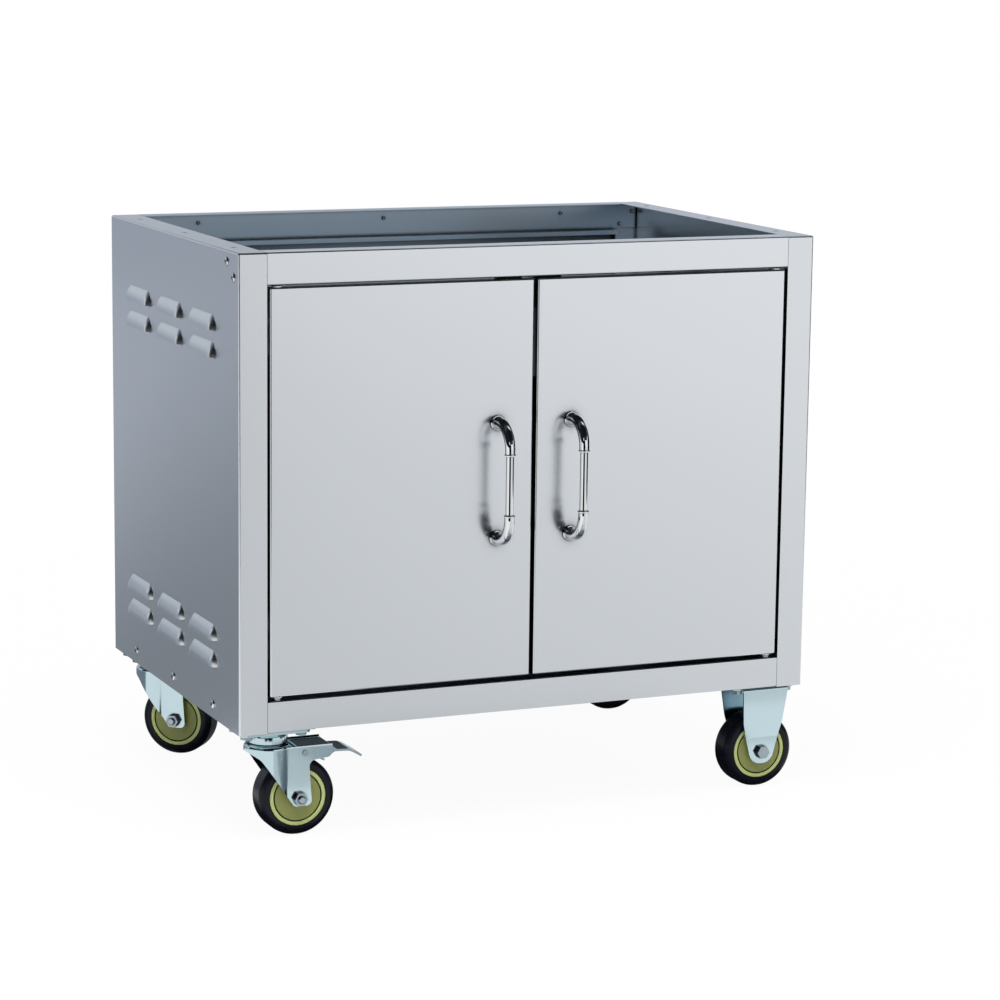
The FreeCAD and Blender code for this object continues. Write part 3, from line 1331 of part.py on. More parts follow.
def fixed_bracket(name, place):
    """A plate whose long edges are folded down into two tapering legs."""
    half_y = dim.plate_width / 2 - dim.bracket_fold
    body = caster_plate(name + "_bracket", half_y)
    drop = float(axle_drop)
    shoulder = -drop + float(dim.bracket_shoulder_rise)
    end = -drop - float(dim.bracket_end)
    outline = []
    for side in (-1, 1):
        corners = [Vector(side * float(dim.bracket_top), 0, 0),
                   Vector(side * float(dim.bracket_shoulder), 0, shoulder),
                   Vector(side * float(dim.bracket_foot), 0, end)]
        outline += corners if side < 0 else reversed(corners)
    bend = float(dim.bracket_shoulder_round)
    foot = float(dim.bracket_foot_round)
    slab = side_slab(outline, [0, bend, foot, foot, bend, 0], float(dim.plate_width))
    hole = cylinder(dim.axle_radius, -float(dim.plate_width), float(dim.plate_width), (0, -drop), "Y")
    legs = [bracket_leg(facing).common(slab).cut(hole) for facing in (-1, 1)]
    folded = shape_part(name + "_legs", Part.makeCompound(legs))
    bracket = doc.addObject("Part::Fuse", name + "_fixed_bracket")
    bracket.Base = body
    bracket.Tool = folded
    bracket.Refine = True
    body.Label = name + "_plate_blank"
    bracket.Label = name + "_bracket"
    on_caster(bracket, place)


def fixed_caster(name, side, end):
    """A rigid caster."""
    place = caster_placement(side, end)
    drop = Vector(0, 0, -float(axle_drop))
    fixed_bracket(name, place)
    pieces = axle_parts(name + "_wheel", place, drop, -1)
    on_caster(shape_part(name + "_axle", Part.makeCompound(pieces)), place, drop)
    wheel(name + "_wheel", place, drop)


def build():
    """Every piece of the cart."""
    for side, name in ((-1, "left"), (1, "right")):
        side_panel(side, name + "_side_panel")
        caster_channel(side, name + "_caster_channel")
        door_skin(side, name + "_door")
        door_liner(side, name + "_door")
        door_bushes(side, name + "_door")
        door_strike(side, name + "_door")
        door_handle(side, name)
    front_top_rail()
    front_bottom_rail()
    rear_top_rail()
    rear_bottom_rail()
    back_panel()
    floor_panel()
    panel_screws()
    door_pivot_pins()
    magnetic_catches()
    caster_fasteners()
    swivel_caster("front_left", -1, -1, 0)
    swivel_caster("rear_left", -1, 1, float(dim.rear_left_swing))
    fixed_caster("front_right", 1, -1)
    fixed_caster("rear_right", 1, 1)


def check_and_write():
    """Stop on any failed object or bad shape, then write one file for each piece."""
    doc.recompute()
    failed = []
    for item in doc.Objects:
        if "Invalid" in item.State or "Error" in item.State:
            failed.append(item.Label)
    for item in parts:
        if item.Shape.isNull() or not item.Shape.isValid() or not item.Shape.Solids:
            failed.append(item.Label)
    if failed:
        raise RuntimeError("failed: " + ", ".join(failed))
    os.makedirs("parts", exist_ok=True)
    for item in parts:
        shape = item.Shape
        if len(shape.Solids) == 1:
            shape = shape.Solids[0]
        shape.exportStep("parts/%s.step" % item.Label)
    print(len(parts), "pieces")


build()
check_and_write()
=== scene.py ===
import bpy
import bmesh
import math
from mathutils import Matrix, Vector


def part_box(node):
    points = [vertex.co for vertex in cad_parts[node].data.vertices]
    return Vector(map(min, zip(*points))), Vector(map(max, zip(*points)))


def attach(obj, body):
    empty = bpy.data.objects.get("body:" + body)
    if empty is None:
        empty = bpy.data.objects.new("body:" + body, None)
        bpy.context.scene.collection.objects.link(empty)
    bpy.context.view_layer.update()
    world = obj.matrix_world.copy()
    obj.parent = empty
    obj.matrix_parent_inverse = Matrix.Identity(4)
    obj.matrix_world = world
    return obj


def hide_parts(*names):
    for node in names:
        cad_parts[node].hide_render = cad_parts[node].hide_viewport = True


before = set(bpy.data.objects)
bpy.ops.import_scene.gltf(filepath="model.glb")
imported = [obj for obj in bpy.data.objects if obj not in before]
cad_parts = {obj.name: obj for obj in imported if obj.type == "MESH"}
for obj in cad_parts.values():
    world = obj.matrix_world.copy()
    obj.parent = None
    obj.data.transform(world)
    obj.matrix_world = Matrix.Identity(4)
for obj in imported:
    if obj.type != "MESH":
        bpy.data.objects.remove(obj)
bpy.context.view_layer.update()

# Cabinet sheet: two side panels, four rails, a back and a floor of 1.2 mm stainless steel.
# Each side panel is one folded sheet with its stiles, top flange and pressed louvres. The
# rails run on behind the stiles, where screws hold them, and tie the panels together.


def linear(colour):
    """A hex sRGB colour as linear red, green, blue and alpha."""
    values = []
    for start in (1, 3, 5):
        part = int(colour[start:start + 2], 16) / 255
        values.append(part / 12.92 if part <= 0.04045 else ((part + 0.055) / 1.055) ** 2.4)
    return values + [1.0]


def add(tree, kind, settings=None, **links):
    """A shader node with its settings, its plain socket values and its links.

    A socket is given by its name, with underscores for spaces, or by its number, as in0.
    """
    node = tree.nodes.new(kind)
    for key, value in (settings or {}).items():
        setattr(node, key, value)
    for key, value in links.items():
        numbered = key.startswith("in")
        socket = node.inputs[int(key[2:]) if numbered else key.replace("_", " ")]
        if isinstance(value, bpy.types.NodeSocket):
            tree.links.new(value, socket)
        else:
            socket.default_value = value
    return node


def new_material(name):
    """An empty node material and its tree."""
    material = bpy.data.materials.new(name)
    material.use_nodes = True
    material.node_tree.nodes.clear()
    return material, material.node_tree


def painted_nook_shade(tree, reach, darkest, closed=0.3):
    """How bright the metal stays: one on an open face, down to a darkest share in a nook.

    Painted shade: two sheets that nearly touch mirror only each other, so real gaps and folds go
    dark, and this dark is painted into the colour. The reach is in metres, and a nook is at its
    darkest where less than the closed share is open.
    """
    nook = add(tree, "ShaderNodeAmbientOcclusion", {"samples": 8}, Distance=reach)
    return add(tree, "ShaderNodeMapRange", Value=nook.outputs["AO"], From_Min=closed,
               From_Max=0.9, To_Min=darkest, To_Max=1.0).outputs[0]


def satin_steel(name, grain_axis, roughness, colour="#dde1e5", reach=0.007, darkest=0.04,
                closed=0.5):
    """Stainless sheet with a fine grain along one axis.

    A real scratch of the grain is near 0.1 mm wide, too fine to show, so the streaks are drawn
    1.1 mm wide and 110 mm long, and faint. The rolls leave clouds 200 mm wide in the gloss.
    Painted shade darkens the colour in nooks, within the reach.
    """
    across, along, clouds = 900.0, 9.0, 5.0  # of the pattern to the metre
    gloss_change, tone_change, cloud_share = 0.012, 0.006, 0.35
    material, tree = new_material(name)
    where = add(tree, "ShaderNodeTexCoord").outputs["Object"]
    stretch = [along if axis == grain_axis else across for axis in "XYZ"]
    streaks = add(tree, "ShaderNodeMapping", Vector=where, Scale=stretch)
    grain = add(tree, "ShaderNodeTexNoise", Vector=streaks.outputs[0], Scale=1.0, Detail=3.0,
                Roughness=0.6)
    cloud = add(tree, "ShaderNodeTexNoise", Vector=where, Scale=clouds, Detail=2.0)
    mixed = add(tree, "ShaderNodeMath", {"operation": "MULTIPLY_ADD"}, in0=cloud.outputs[0],
                in1=cloud_share, in2=grain.outputs[0])
    rough = add(tree, "ShaderNodeMapRange", Value=mixed.outputs[0], From_Min=0.3, From_Max=1.1,
                To_Min=roughness - gloss_change, To_Max=roughness + gloss_change)
    tone = add(tree, "ShaderNodeMapRange", Value=grain.outputs[0], From_Min=0.25, From_Max=0.75,
               To_Min=1 - tone_change, To_Max=1 + tone_change)
    # The grain's faint tone, times painted shade in the nooks.
    shade = add(tree, "ShaderNodeMath", {"operation": "MULTIPLY"}, in0=tone.outputs[0],
                in1=painted_nook_shade(tree, reach, darkest, closed))
    paint = add(tree, "ShaderNodeVectorMath", {"operation": "SCALE"}, in0=linear(colour)[:3],
                Scale=shade.outputs[0])
    bump = add(tree, "ShaderNodeBump", Strength=0.004, Distance=0.0004, Height=grain.outputs[0])
    steel = add(tree, "ShaderNodeBsdfPrincipled", Base_Color=paint.outputs[0], Metallic=1.0,
                Roughness=rough.outputs[0], Normal=bump.outputs[0])
    add(tree, "ShaderNodeOutputMaterial", Surface=steel.outputs[0])
    return material


def soften(shown, angle=32):
    """Smooth shading across soft bends, level on flat sheet, and crisp past an angle.

    The large faces lead where a bend meets flat sheet, so the sheet stays level.
    """
    for face in shown.data.polygons:
        face.use_smooth = True
    split = shown.modifiers.new("edges", "EDGE_SPLIT")
    split.split_angle = math.radians(angle)
    level = shown.modifiers.new("levels", "WEIGHTED_NORMAL")
    level.mode = "FACE_AREA"
    level.weight = 100


def dress(node, material, angle=32):
    """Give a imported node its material, with its triangles welded and softly shaded."""
    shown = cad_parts[node]
    shown.data.materials.clear()
    shown.data.materials.append(material)
    weld = shown.modifiers.new("weld", "WELD")
    weld.merge_threshold = 0.00002  # 0.02 mm
    soften(shown, angle)


# Satin stainless steel, rubbed upright with a fine belt: a soft grey sheen that blurs what
# stands round it into bands. The low crease angle keeps the louvres' edges crisp.
steel_upright = satin_steel("satin_stainless_upright", "Z", 0.25)
louvre_crease = 14
for node in ("left_side_panel", "right_side_panel"):
    dress(node, steel_upright, louvre_crease)

# The same sheet rubbed across on the front: a little glossier, so that it mirrors the floor as
# a long fade. Painted shade turns it black in the gaps round the doors, which are 20 mm deep.
steel_across = satin_steel("satin_stainless_across", "X", 0.2, reach=0.022)
for node in ("front_top_rail", "front_bottom_rail"):
    dress(node, steel_across)

# Stainless steel for the rear rails: duller than the satin sheet and tinted bluer, a painted
# tint of the cool light inside the open top, and still bright enough to show that light.
steel_frame = satin_steel("pickled_frame_steel", "X", 0.3, colour="#d6e4ef")
for node in ("rear_top_rail", "rear_bottom_rail"):
    dress(node, steel_frame)

# Mill finish stainless steel, left as it was rolled: a dull cold grey. Its wide nook shade
# darkens the cabinet towards its corners and floor, where little light comes in.
steel_mill = satin_steel("mill_finish_stainless", "X", 0.42, colour="#d6dfe6", reach=0.45,
                         closed=0.3)
for node in ("back_panel", "floor_panel"):
    dress(node, steel_mill)

# Doors: an outer skin folded on all sides, an inner pan and a strike plate for the catch, all
# of the satin sheet with its grain across. Nylon bushes carry each door on its two pins, and
# magnetic catches under the top rail hold both shut.
for side in ("left", "right"):
    for part in ("_door_skin", "_door_liner", "_door_strike"):
        dress(side + part, steel_across)


def moulding(name, colour, roughness, specular=0.5):
    """A moulded plastic or rubber skin.

    Its unevenness is near 0.3 mm wide, too fine to show, so it is drawn 3 mm wide and faint.
    """
    grit_scale = 300.0  # of the pattern to the metre
    material, tree = new_material(name)
    where = add(tree, "ShaderNodeTexCoord").outputs["Object"]
    grit = add(tree, "ShaderNodeTexNoise", Vector=where, Scale=grit_scale, Detail=3.0)
    rough = add(tree, "ShaderNodeMapRange", Value=grit.outputs[0], From_Min=0.3, From_Max=0.7,
                To_Min=roughness - 0.04, To_Max=roughness + 0.05)
    tone = add(tree, "ShaderNodeMapRange", Value=grit.outputs[0], From_Min=0.3, From_Max=0.7,
               To_Min=0.97, To_Max=1.03)
    paint = add(tree, "ShaderNodeVectorMath", {"operation": "SCALE"}, in0=linear(colour)[:3],
                Scale=tone.outputs[0])
    bump = add(tree, "ShaderNodeBump", Strength=0.1, Distance=0.0002, Height=grit.outputs[0])
    skin = add(tree, "ShaderNodeBsdfPrincipled", Base_Color=paint.outputs[0],
               Roughness=rough.outputs[0], Normal=bump.outputs[0], Specular_IOR_Level=specular)
    add(tree, "ShaderNodeOutputMaterial", Surface=skin.outputs[0])
    return material


# Nylon, moulded and undyed: a milky white with a soft half shine.
nylon = moulding("moulded_nylon", "#c9c9c2", 0.4)
for side in ("left", "right"):
    dress(side + "_door_bushes", nylon)

# ABS, moulded and dyed through: near black, with a dull shine.
dress("magnetic_catches", moulding("moulded_catch_case", "#1b1c1e", 0.45))

# Caster steelwork, channels, pins and bolts: pressed steel, riveted and bolted together and
# zinc plated. The channels under the floor carry the caster bolts.


def plated(name, colour, roughness, cloud):
    """A bright plated metal with a faint cloudiness.

    The bath leaves clouds 17 mm wide in the tone and the gloss, and painted shade darkens nooks
    over 5 mm.
    """
    clouds = 60.0  # of the pattern to the metre
    nook_reach, nook_darkest = 0.005, 0.12
    material, tree = new_material(name)
    where = add(tree, "ShaderNodeTexCoord").outputs["Object"]
    mottle = add(tree, "ShaderNodeTexNoise", Vector=where, Scale=clouds, Detail=3.0,
                 Roughness=0.5)
    rough = add(tree, "ShaderNodeMapRange", Value=mottle.outputs[0], From_Min=0.3, From_Max=0.7,
                To_Min=roughness * 0.88, To_Max=roughness * 1.15)
    tone = add(tree, "ShaderNodeMapRange", Value=mottle.outputs[0], From_Min=0.3, From_Max=0.7,
               To_Min=1 - cloud, To_Max=1.0)
    # The cloud tone, times painted shade in the nooks.
    shade = add(tree, "ShaderNodeMath", {"operation": "MULTIPLY"}, in0=tone.outputs[0],
                in1=painted_nook_shade(tree, nook_reach, nook_darkest))
    paint = add(tree, "ShaderNodeVectorMath", {"operation": "SCALE"}, in0=linear(colour)[:3],
                Scale=shade.outputs[0])
    bump = add(tree, "ShaderNodeBump", Strength=cloud / 4, Distance=0.0003,
               Height=mottle.outputs[0])
    plate = add(tree, "ShaderNodeBsdfPrincipled", Base_Color=paint.outputs[0], Metallic=1.0,
                Roughness=rough.outputs[0], Normal=bump.outputs[0])
    add(tree, "ShaderNodeOutputMaterial", Surface=plate.outputs[0])
    return material


# Bright zinc, plated and blue passivated on smooth pressed steel: a pale icy near-mirror.
zinc = plated("bright_zinc_plate", "#c3d8de", 0.13, 0.03)
zinc_parts = ("_plate", "_king_pin", "_fork", "_brake_shoe", "_bracket", "_pedal", "_channel")

# The same zinc on bolts and nuts, plated loose in a barrel: greyer and duller from the knocks.
zinc_bolt = plated("bright_zinc_fastener", "#a7b4bb", 0.26, 0.05)
bolt_parts = ("_fork_fasteners", "_axle", "_wheel_bush", "_bolts", "_nuts", "_pivot_pins")

for node in sorted(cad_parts):
    if node.endswith(zinc_parts):
        dress(node, zinc)
    if node.endswith(bolt_parts):
        dress(node, zinc_bolt)

# Sheet screws: pan heads with a cross recess, headed and rolled from bright stainless wire.
# Five go through each side panel, six through the rear stiles and six through the back.


def show(name, shape, materials, body, node):
    """Make a piece from its shape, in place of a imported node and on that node's body."""
    mesh = bpy.data.meshes.new(name)
    shape.to_mesh(mesh)
    shape.free()
    for material in materials:
        mesh.materials.append(material)
    made = bpy.data.objects.new(name, mesh)
    bpy.context.scene.collection.objects.link(made)
    soften(made)
    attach(made, body)
    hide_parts(node)


def turned(outline, steps):
    """A solid turned about Z from its outline of (radius, height) in millimetres."""
    shape = bmesh.new()
    points = [shape.verts.new((radius / 1000, 0, height / 1000)) for radius, height in outline]
    edges = [shape.edges.new(pair) for pair in zip(points, points[1:])]
    bmesh.ops.spin(shape, geom=points + edges, cent=(0, 0, 0), axis=(0, 0, 1), angle=math.tau,
                   steps=steps, use_merge=True)
    bmesh.ops.remove_doubles(shape, verts=shape.verts, dist=1e-6)
    bmesh.ops.recalc_face_normals(shape, faces=shape.faces)
    return shape


def carve(shape, cutter):
    """Cut one shape out of another; the cut faces keep the cutter's material."""
    solids = []
    for part in (shape, cutter):
        mesh = bpy.data.meshes.new("solid")
        part.to_mesh(mesh)
        part.free()
        for _ in range(2):
            mesh.materials.append(None)
        solids.append(bpy.data.objects.new("solid", mesh))
        bpy.context.scene.collection.objects.link(solids[-1])
    cut = solids[0].modifiers.new("cut", "BOOLEAN")
    cut.object = solids[1]
    cut.solver = "EXACT"
    cut.use_self = True
    cut.material_mode = "INDEX"
    result = bmesh.new()
    result.from_object(solids[0], bpy.context.evaluated_depsgraph_get())
    for solid in solids:
        bpy.data.objects.remove(solid)
    return result


# Millimetres, with the head's underside at zero. The cross is cut 1.5 mm deep and stands a
# little askew, as a driver leaves it.
pan_head_screw = [(0, 2.5), (1.8, 2.45), (3.4, 2.2), (4.6, 1.75), (5.3, 1.1), (5.6, 0.5),
                  (5.6, 0), (2, 0), (2, -7.5), (1.6, -8), (0, -8)]
arm_length, arm_width, arm_height, arm_middle, askew = 6.6, 1.5, 3.2, 2.6, 20
cross = bmesh.new()
for quarter in (0, 90):
    arm = bmesh.ops.create_cube(cross, size=0.001)["verts"]
    bmesh.ops.scale(cross, vec=(arm_length, arm_width, arm_height), verts=arm)
    bmesh.ops.translate(cross, vec=(0, 0, arm_middle / 1000), verts=arm)
    bmesh.ops.rotate(cross, matrix=Matrix.Rotation(math.radians(quarter + askew), 3, "Z"),
                     verts=arm)
for face in cross.faces:
    face.material_index = 1
screw = carve(turned(pan_head_screw, 32), cross)
screw_mesh = bpy.data.meshes.new("screw")
screw.to_mesh(screw_mesh)
screw.free()

side_face, rear_face = 406, 296.45
top_row, second_row, base_row = 747.5, 729.5, 163
side_places = ((-206.05, top_row), (-231.55, second_row), (-144.05, base_row),
               (23.45, base_row), (190.95, base_row))
rear_places = [(side * x, z) for side in (-1, 1)
               for x, z in ((397, top_row), (377, second_row), (387, base_row))]
rear_places += [(x, z) for z in (top_row, base_row) for x in (-280, 0, 280)]
screw_places = [((side * side_face, y, z), Matrix.Rotation(math.radians(side * 90), 4, "Y"))
                for side in (-1, 1) for y, z in side_places]
screw_places += [((x, rear_face, z), Matrix.Rotation(math.radians(-90), 4, "X"))
                 for x, z in rear_places]
screws = bmesh.new()
for place, turn in screw_places:
    start = len(screws.verts)
    screws.from_mesh(screw_mesh)
    screws.verts.ensure_lookup_table()
    seat = Matrix.Translation([value / 1000 for value in place])
    bmesh.ops.transform(screws, matrix=seat @ turn, verts=screws.verts[start:])

# Stainless wire, cold headed and bright: a smooth pale mirror with little colour.
bright_steel = plated("rolled_stainless_screw", "#dfe4e9", 0.13, 0.02)

# The same steel inside the recess, rough from the punch. Its colour is painted dark, as shade,
# because little light gets in.
recess = plated("screw_recess", "#1d2024", 0.5, 0.02)
show("sheet_screws", screws, (bright_steel, recess), "cabinet", "panel_screws")

# Door handles: a cast elbow at each end and a tube between them, held by a screw through the
# door into each elbow. An elbow leaves a round foot on the door, narrows through its bend and
# meets a ring of the tube.

# Chrome, plated over polished metal: a cold clear mirror that shows the studio as sharp bands.
chrome = plated("polished_chrome", "#e4e6e9", 0.035, 0.01)
handle_level, foot_out, bar_half = 455.2, 76, 41.5
door_face, neck, bend, bend_steps = -249.55, 12, 30, 14
elbow_radius, narrowing, bar_radius = 7.8, 1.2, 5.2


def elbow(x, toward):
    """One elbow, from its foot on the door to the ring of the tube.

    It rises to the tube from the lower foot where toward is 1, and comes down where it is -1.
    """
    shape = bmesh.new()
    level = handle_level - toward * foot_out
    middle = Vector((x, door_face, level))
    lie = Matrix.Translation(middle) @ Matrix.Rotation(math.radians(90), 4, "X")
    foot = bmesh.ops.create_circle(shape, cap_ends=True, radius=8.6, segments=40,
                                   matrix=lie)["verts"]
    edges = list({edge for vert in foot for edge in vert.link_edges})

    def onward(move, radius):
        """Draw the open end on by a move and scale it to a radius about its own middle."""
        nonlocal edges, middle
        grown = bmesh.ops.extrude_edge_only(shape, edges=edges)["geom"]
        verts = [item for item in grown if isinstance(item, bmesh.types.BMVert)]
        edges = [item for item in grown if isinstance(item, bmesh.types.BMEdge)]
        bmesh.ops.transform(shape, matrix=move, verts=verts)
        middle = move @ middle
        factor = radius / (verts[0].co - middle).length
        bmesh.ops.scale(shape, vec=(factor,) * 3, space=Matrix.Translation(-middle),
                        verts=verts)

    foot_and_neck = ((0.4, 9.6), (0.6, 10), (1.0, 10), (0.6, 9.5), (0.1, 8.6), (0.8, 8.1),
                     (4.5, 7.9), (4, elbow_radius))
    for step, radius in foot_and_neck:
        onward(Matrix.Translation((0, -step, 0)), radius)
    hinge = Vector((x, door_face - neck, level + toward * bend))
    turn = Matrix.Translation(hinge) @ Matrix.Rotation(
        math.radians(-toward * 90 / bend_steps), 4, "X") @ Matrix.Translation(-hinge)
    for step in range(bend_steps):
        onward(turn, elbow_radius - narrowing * (step + 1) / bend_steps)
    rest = foot_out - bend - bar_half
    for _ in range(2):
        onward(Matrix.Translation((0, 0, toward * rest / 2)), elbow_radius - narrowing)
    onward(Matrix.Identity(4), bar_radius)
    bmesh.ops.contextual_create(shape, geom=edges)
    bmesh.ops.recalc_face_normals(shape, faces=shape.faces)
    bmesh.ops.scale(shape, vec=(0.001,) * 3, verts=shape.verts)
    return shape


def joined(shapes):
    """Several shapes as one."""
    whole = bmesh.new()
    for shape in shapes:
        mesh = bpy.data.meshes.new("part")
        shape.to_mesh(mesh)
        shape.free()
        whole.from_mesh(mesh)
    return whole


# The tube from its middle to one end, with its ring and the spigot that enters the elbow.
tube_half = [(bar_radius, 0), (bar_radius, bar_half - 3), (6.5, bar_half - 3),
             (7.1, bar_half - 2.7), (7.4, bar_half - 2), (7.4, bar_half - 1),
             (7.1, bar_half - 0.3), (6.5, bar_half), (4, bar_half), (4, bar_half + 6),
             (0, bar_half + 6)]
tube_outline = [(radius, -height) for radius, height in reversed(tube_half[1:])] + tube_half
for side, x in (("left", -52.5), ("right", 52.5)):
    show(side + "_handle_cast_elbows", joined([elbow(x, 1), elbow(x, -1)]), [chrome],
         side + "_door", side + "_handle_elbows")
    tube = turned(tube_outline, 40)
    bmesh.ops.translate(tube, vec=(x / 1000, (door_face - neck - bend) / 1000,
                                   handle_level / 1000), verts=tube.verts)
    show(side + "_handle_tube", tube, [chrome], side + "_door", side + "_handle_bar")
    dress(side + "_handle_screws", zinc)

# Wheels: a hard moulded hub that turns on a steel bush, and a plain rubber tyre stretched
# over it. A thin groove sets the hub's disc off from its rim and shows as a black ring.

# Rubber, vulcanised in a smooth mould: blue-black with a low soft shine.
rubber = moulding("moulded_rubber_tyre", "#0f111a", 0.3, 0.2)

# Polypropylene, moulded and dyed olive: a half gloss. The ring round the disc is paler, and the
# groove between them is painted nearly black: painted shade for the shade that fills it.
disc = moulding("moulded_hub_disc", "#8a9050", 0.38, 0.3)
ring = moulding("moulded_hub_ring", "#bdc77f", 0.38, 0.3)
groove = moulding("moulded_hub_groove", "#0e100c", 0.5, 0.1)

# One side of the hub from its bore to its rim, as radius and half width in millimetres, and
# the radii between which its faces are the groove's, in metres.
hub_side = [(7.1, 23.5), (12.6, 23.5), (13, 23.1), (13.4, 18.8), (14, 18.4), (30.9, 18.4),
            (31.3, 18.1), (31.5, 16.9), (32.9, 16.9), (33.1, 18.1), (33.5, 18.5), (37.6, 18.5),
            (38, 18.3), (38.2, 17.8)]
hub_outline = hub_side + [(radius, -height) for radius, height in reversed(hub_side)]
groove_inside, groove_outside = 0.0311, 0.0330
for wheel, swing in (("front_left", 0), ("rear_left", -41), ("front_right", 0),
                     ("rear_right", 0)):
    dress(wheel + "_wheel_tyre", rubber)
    hub = turned(hub_outline + hub_side[:1], 72)
    for face in hub.faces:
        out = face.calc_center_median().xy.length
        face.material_index = 0 if out < groove_inside else 1 if out > groove_outside else 2
    low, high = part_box(wheel + "_wheel_hub")
    place = Matrix.Translation((low + high) / 2) @ Matrix.Rotation(
        math.radians(swing), 4, "Z") @ Matrix.Rotation(math.radians(90), 4, "X")
    bmesh.ops.transform(hub, matrix=place, verts=hub.verts)
    show(wheel + "_hub_moulding", hub, (disc, ring, groove), wheel + "_wheel",
         wheel + "_wheel_hub")

# Studio: a pale floor that meets a white background, two soft lamps, and grey cards that only
# the metal mirrors, set round it so that its faces, folds and edges read.


def seen_directly(tree):
    """One on a ray from the camera, a mirror or glass, and zero where it brings soft light."""
    path = add(tree, "ShaderNodeLightPath")
    first = add(tree, "ShaderNodeMath", {"operation": "ADD"}, in0=path.outputs["Is Camera Ray"],
                in1=path.outputs["Is Glossy Ray"])
    return add(tree, "ShaderNodeMath", {"operation": "ADD", "use_clamp": True},
               in0=first.outputs[0], in1=path.outputs["Is Transmission Ray"]).outputs[0]


def stage_mesh(name, corners, material):
    """A flat sheet of the studio."""
    shape = bmesh.new()
    shape.faces.new([shape.verts.new(corner) for corner in corners])
    mesh = bpy.data.meshes.new(name)
    shape.to_mesh(mesh)
    shape.free()
    mesh.materials.append(material)
    made = bpy.data.objects.new(name, mesh)
    bpy.context.scene.collection.objects.link(made)
    return made


# Matt white paper: it runs out to pure white, and near the cart it keeps a twentieth of its
# real shade, which holds the cart's shadow.
near_cart, far_off, white_near = 0.5, 2.5, 0.95
paper, tree = new_material("pale_floor")
matt = add(tree, "ShaderNodeBsdfDiffuse", Color=linear("#f2f2f2"))
white = add(tree, "ShaderNodeEmission", Color=linear("#ffffff"), Strength=1.0)
where = add(tree, "ShaderNodeTexCoord").outputs["Object"]
away = add(tree, "ShaderNodeVectorMath", {"operation": "LENGTH"}, in0=where)
fade = add(tree, "ShaderNodeMapRange", Value=away.outputs["Value"], From_Min=near_cart,
           From_Max=far_off, To_Min=white_near, To_Max=1.0)
share = add(tree, "ShaderNodeMath", {"operation": "MULTIPLY"}, in0=seen_directly(tree),
            in1=fade.outputs[0])
both = add(tree, "ShaderNodeMixShader", in0=share.outputs[0], in1=matt.outputs[0],
           in2=white.outputs[0])
add(tree, "ShaderNodeOutputMaterial", Surface=both.outputs[0])
stage_mesh("floor", [(-20, -20, 0), (20, -20, 0), (20, 20, 0), (-20, 20, 0)], paper)

# The world: white to the eye and in the metal, and a soft cool light on everything.
world = bpy.data.worlds.new("studio")
bpy.context.scene.world = world
world.use_nodes = True
tree = world.node_tree
tree.nodes.clear()
soft = add(tree, "ShaderNodeBackground", Color=linear("#eff2f9"), Strength=0.55)
open_white = add(tree, "ShaderNodeBackground", Color=linear("#ffffff"), Strength=1.0)
sky = add(tree, "ShaderNodeMixShader", in0=seen_directly(tree), in1=soft.outputs[0],
          in2=open_white.outputs[0])
add(tree, "ShaderNodeOutputWorld", Surface=sky.outputs[0])


def soft_lamp(name, place, width, height, power):
    """A soft box turned towards the cart. The metal mirrors the cards and not the lamps."""
    cart_middle = Vector((0, 0, 0.4))
    lamp = bpy.data.lights.new(name, "AREA")
    lamp.shape = "RECTANGLE"
    lamp.size = width
    lamp.size_y = height
    lamp.energy = power
    hung = bpy.data.objects.new(name, lamp)
    hung.location = place
    hung.rotation_mode = "QUATERNION"
    hung.rotation_quaternion = (Vector(place) - cart_middle).to_track_quat("Z", "Y")
    hung.visible_glossy = False
    bpy.context.scene.collection.objects.link(hung)


def mirror_card(name, corners, low_colour, high_colour=None, along=(0, 0, 1), start=0, end=1):
    """A card that only mirrors see, shaded from one grey to another along a direction.

    The shade starts and ends at two distances along that direction, in metres.
    """
    look, tree = new_material(name)
    where = add(tree, "ShaderNodeTexCoord").outputs["Object"]
    reached = add(tree, "ShaderNodeVectorMath", {"operation": "DOT_PRODUCT"}, in0=where,
                  in1=along)
    climb = add(tree, "ShaderNodeMapRange", Value=reached.outputs["Value"], From_Min=start,
                From_Max=end)
    tint = add(tree, "ShaderNodeMix", {"data_type": "RGBA"}, in0=climb.outputs[0],
               in6=linear(low_colour), in7=linear(high_colour or low_colour))
    glow = add(tree, "ShaderNodeEmission", Color=tint.outputs[2], Strength=1.0)
    add(tree, "ShaderNodeOutputMaterial", Surface=glow.outputs[0])
    card = stage_mesh(name, corners, look)
    card.visible_camera = False
    card.visible_diffuse = False
    card.visible_shadow = False
    card.visible_transmission = False


def lying(name, outline, *greys, height=0.002, **shade):
    """A card that lies level, just above the floor or at a height."""
    mirror_card(name, [(x, y, height) for x, y in outline], *greys, **shade)


def standing(name, azimuth, distance, width, foot, head, *greys, **shade):
    """An upright card, square to the cart's middle, from its foot to its head."""
    turn = math.radians(azimuth)
    middle = Vector((math.sin(turn), -math.cos(turn), 0)) * distance
    side = Vector((math.cos(turn), math.sin(turn), 0)) * width / 2
    low, high = Vector((0, 0, foot)), Vector((0, 0, head))
    mirror_card(name, [middle - side + low, middle + side + low, middle + side + high,
                       middle - side + high], *greys, **shade)
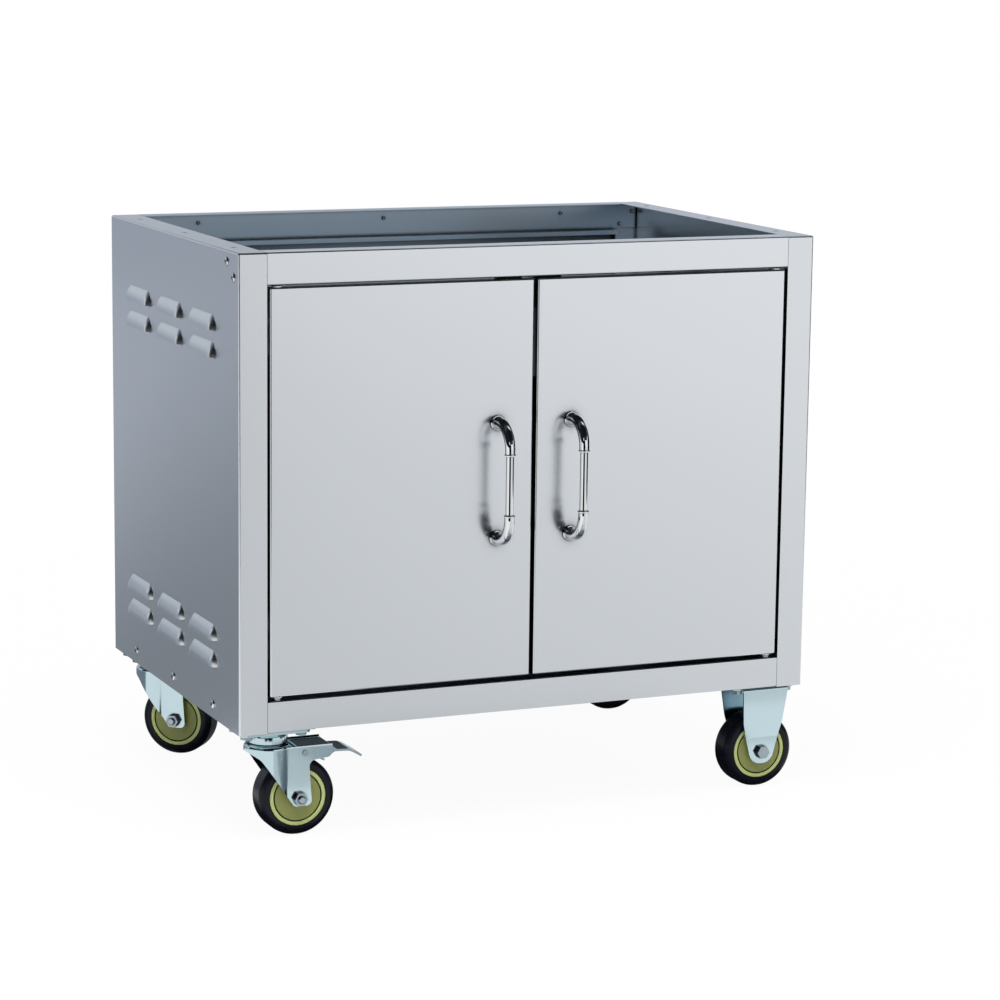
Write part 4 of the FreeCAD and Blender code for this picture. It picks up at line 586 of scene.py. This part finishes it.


# The floor as the metal mirrors it: dim on the shaded left, where the side panel's lower half
# looks, grey behind, bright in front of the doors, and dark under and close to the cart: a
# painted shadow of the cart, seen only in the metal.
lying("card_left", [(-6, 0.22), (-0.1, 0.22), (-2.5, 8), (-6, 8)], "#858b92", "#b6bcc7",
      along=(0.7, 0.33, 0), start=-0.115, end=0.125)
lying("card_back", [(-0.1, 0.45), (5, 0.45), (5, 8), (-2.5, 8)], "#a3a9b1", "#c3c9d5",
      along=(0, 1, 0), start=0.6, end=3.5)
lying("card_front", [(-0.3, -9), (5, -9), (5, -0.45), (-0.3, -0.45)], "#dbdcdd", "#ffffff",
      along=(0.1, 0.012, 0), start=-0.03, end=0.25)
lying("card_under", [(-0.42, -0.27), (0.42, -0.27), (0.42, 0.31), (-0.42, 0.31)], "#23272c")
lying("card_near", [(-0.17, -0.75), (0.4, -0.75), (0.4, -0.27), (-0.17, -0.27)], "#626a72",
      "#a2a9b0", along=(0, -1, 0), start=0.3, end=0.75)

# Pale walls behind, which the side panel's upper half and the top flanges mirror.
standing("wall_back_left", 200, 6.0, 8.0, 0.01, 3.2, "#a3a9b5", "#ced3da", start=0.5, end=1.7)
standing("wall_back", 145, 4.5, 4.5, 0.01, 3.2, "#c6ccd5")

# The dark room on the other sides, which draws the dark bands in the chrome and the zinc, and
# a low pale strip at the left, which shows in the front ends of the louvres.
standing("wall_left", -76, 3.6, 6.0, 0.5, 3.2, "#0c0e12", "#23272d", start=0.5, end=3.0)
standing("wall_left_low", -120, 2.6, 2.4, 0.01, 0.5, "#a9b0b8")
standing("wall_front", 12, 4.6, 7.0, 1.6, 3.2, "#3a4047", "#22262b", start=1.6, end=3.0)
standing("wall_right", 98, 4.0, 6.0, 0.9, 3.2, "#4a5058")

# Black flags, which draw thin dark lines along the tubes, the elbows and the folds.
standing("flag_back", 174, 4.2, 2.4, 2.2, 3.15, "#0c0e12")
standing("flag_camera", -21, 2.1, 1.5, 0.01, 0.9, "#08090b")
standing("flag_right", 80, 2.4, 2.9, 0.01, 0.9, "#0c0d10")

# The dim ceiling, with one lit patch for the highlights in the chrome.
lying("card_ceiling", [(-6, -6), (6, -6), (6, 6), (-6, 6)], "#16181c", "#7d858e",
      along=(0, 1, 0), start=-1, end=3, height=3.2)
lying("card_above", [(0.7, -0.5), (2.4, -0.5), (2.4, 0.5), (0.7, 0.5)], "#f4f8fc", height=3.1)

# A glowing card, seen only in mirrors, at the inner face of the front rail: a painted
# reflection of that lit face, which the rear rail mirrors through the open top.
mirror_card("card_inside", [(-0.2, -0.215, 0.585), (0.36, -0.215, 0.585),
                            (0.36, -0.215, 0.675), (-0.2, -0.215, 0.675)],
            "#a9b9c6", "#77899a", start=0.585, end=0.67)

# The lamps light what isn't metal, such as the tyres, the hubs and the floor: a narrow one at
# the left and a broad one overhead.
soft_lamp("strip", (-2.7, -0.7, 1.9), 0.12, 1.3, 7)
soft_lamp("top", (-0.4, -0.9, 3.1), 2.6, 2.6, 95)

# Camera: a long lens from the front left, a little above the top, as the photograph was taken.
# Its place is measured from the middle of the cabinet's underside, along its own three axes.
azimuth, elevation, roll = (math.radians(angle) for angle in (-23.529, 10.204, 0.698))
distance, aside, above = 4.514679, 0.068003, 0.231719
camera_data = bpy.data.cameras.new("camera")
camera_data.sensor_width = 36.0
camera_data.lens = 116.12
camera_data.clip_start = 0.05
camera_data.clip_end = 100
back = Vector((math.sin(azimuth) * math.cos(elevation),
               -math.cos(azimuth) * math.cos(elevation), math.sin(elevation)))
level = Vector((0, 0, 1)).cross(back).normalized()
upright = back.cross(level)
right = math.cos(roll) * level + math.sin(roll) * upright
up = -math.sin(roll) * level + math.cos(roll) * upright
underside = Vector((0, 0.02345, 0.1445))
place = underside + back * distance + right * aside + up * above
camera = bpy.data.objects.new("camera", camera_data)
camera.matrix_world = Matrix.Translation(place) @ Matrix((right, up, back)).transposed().to_4x4()
bpy.context.scene.collection.objects.link(camera)
bpy.context.scene.camera = camera
bpy.context.scene.view_settings.view_transform = "Standard"
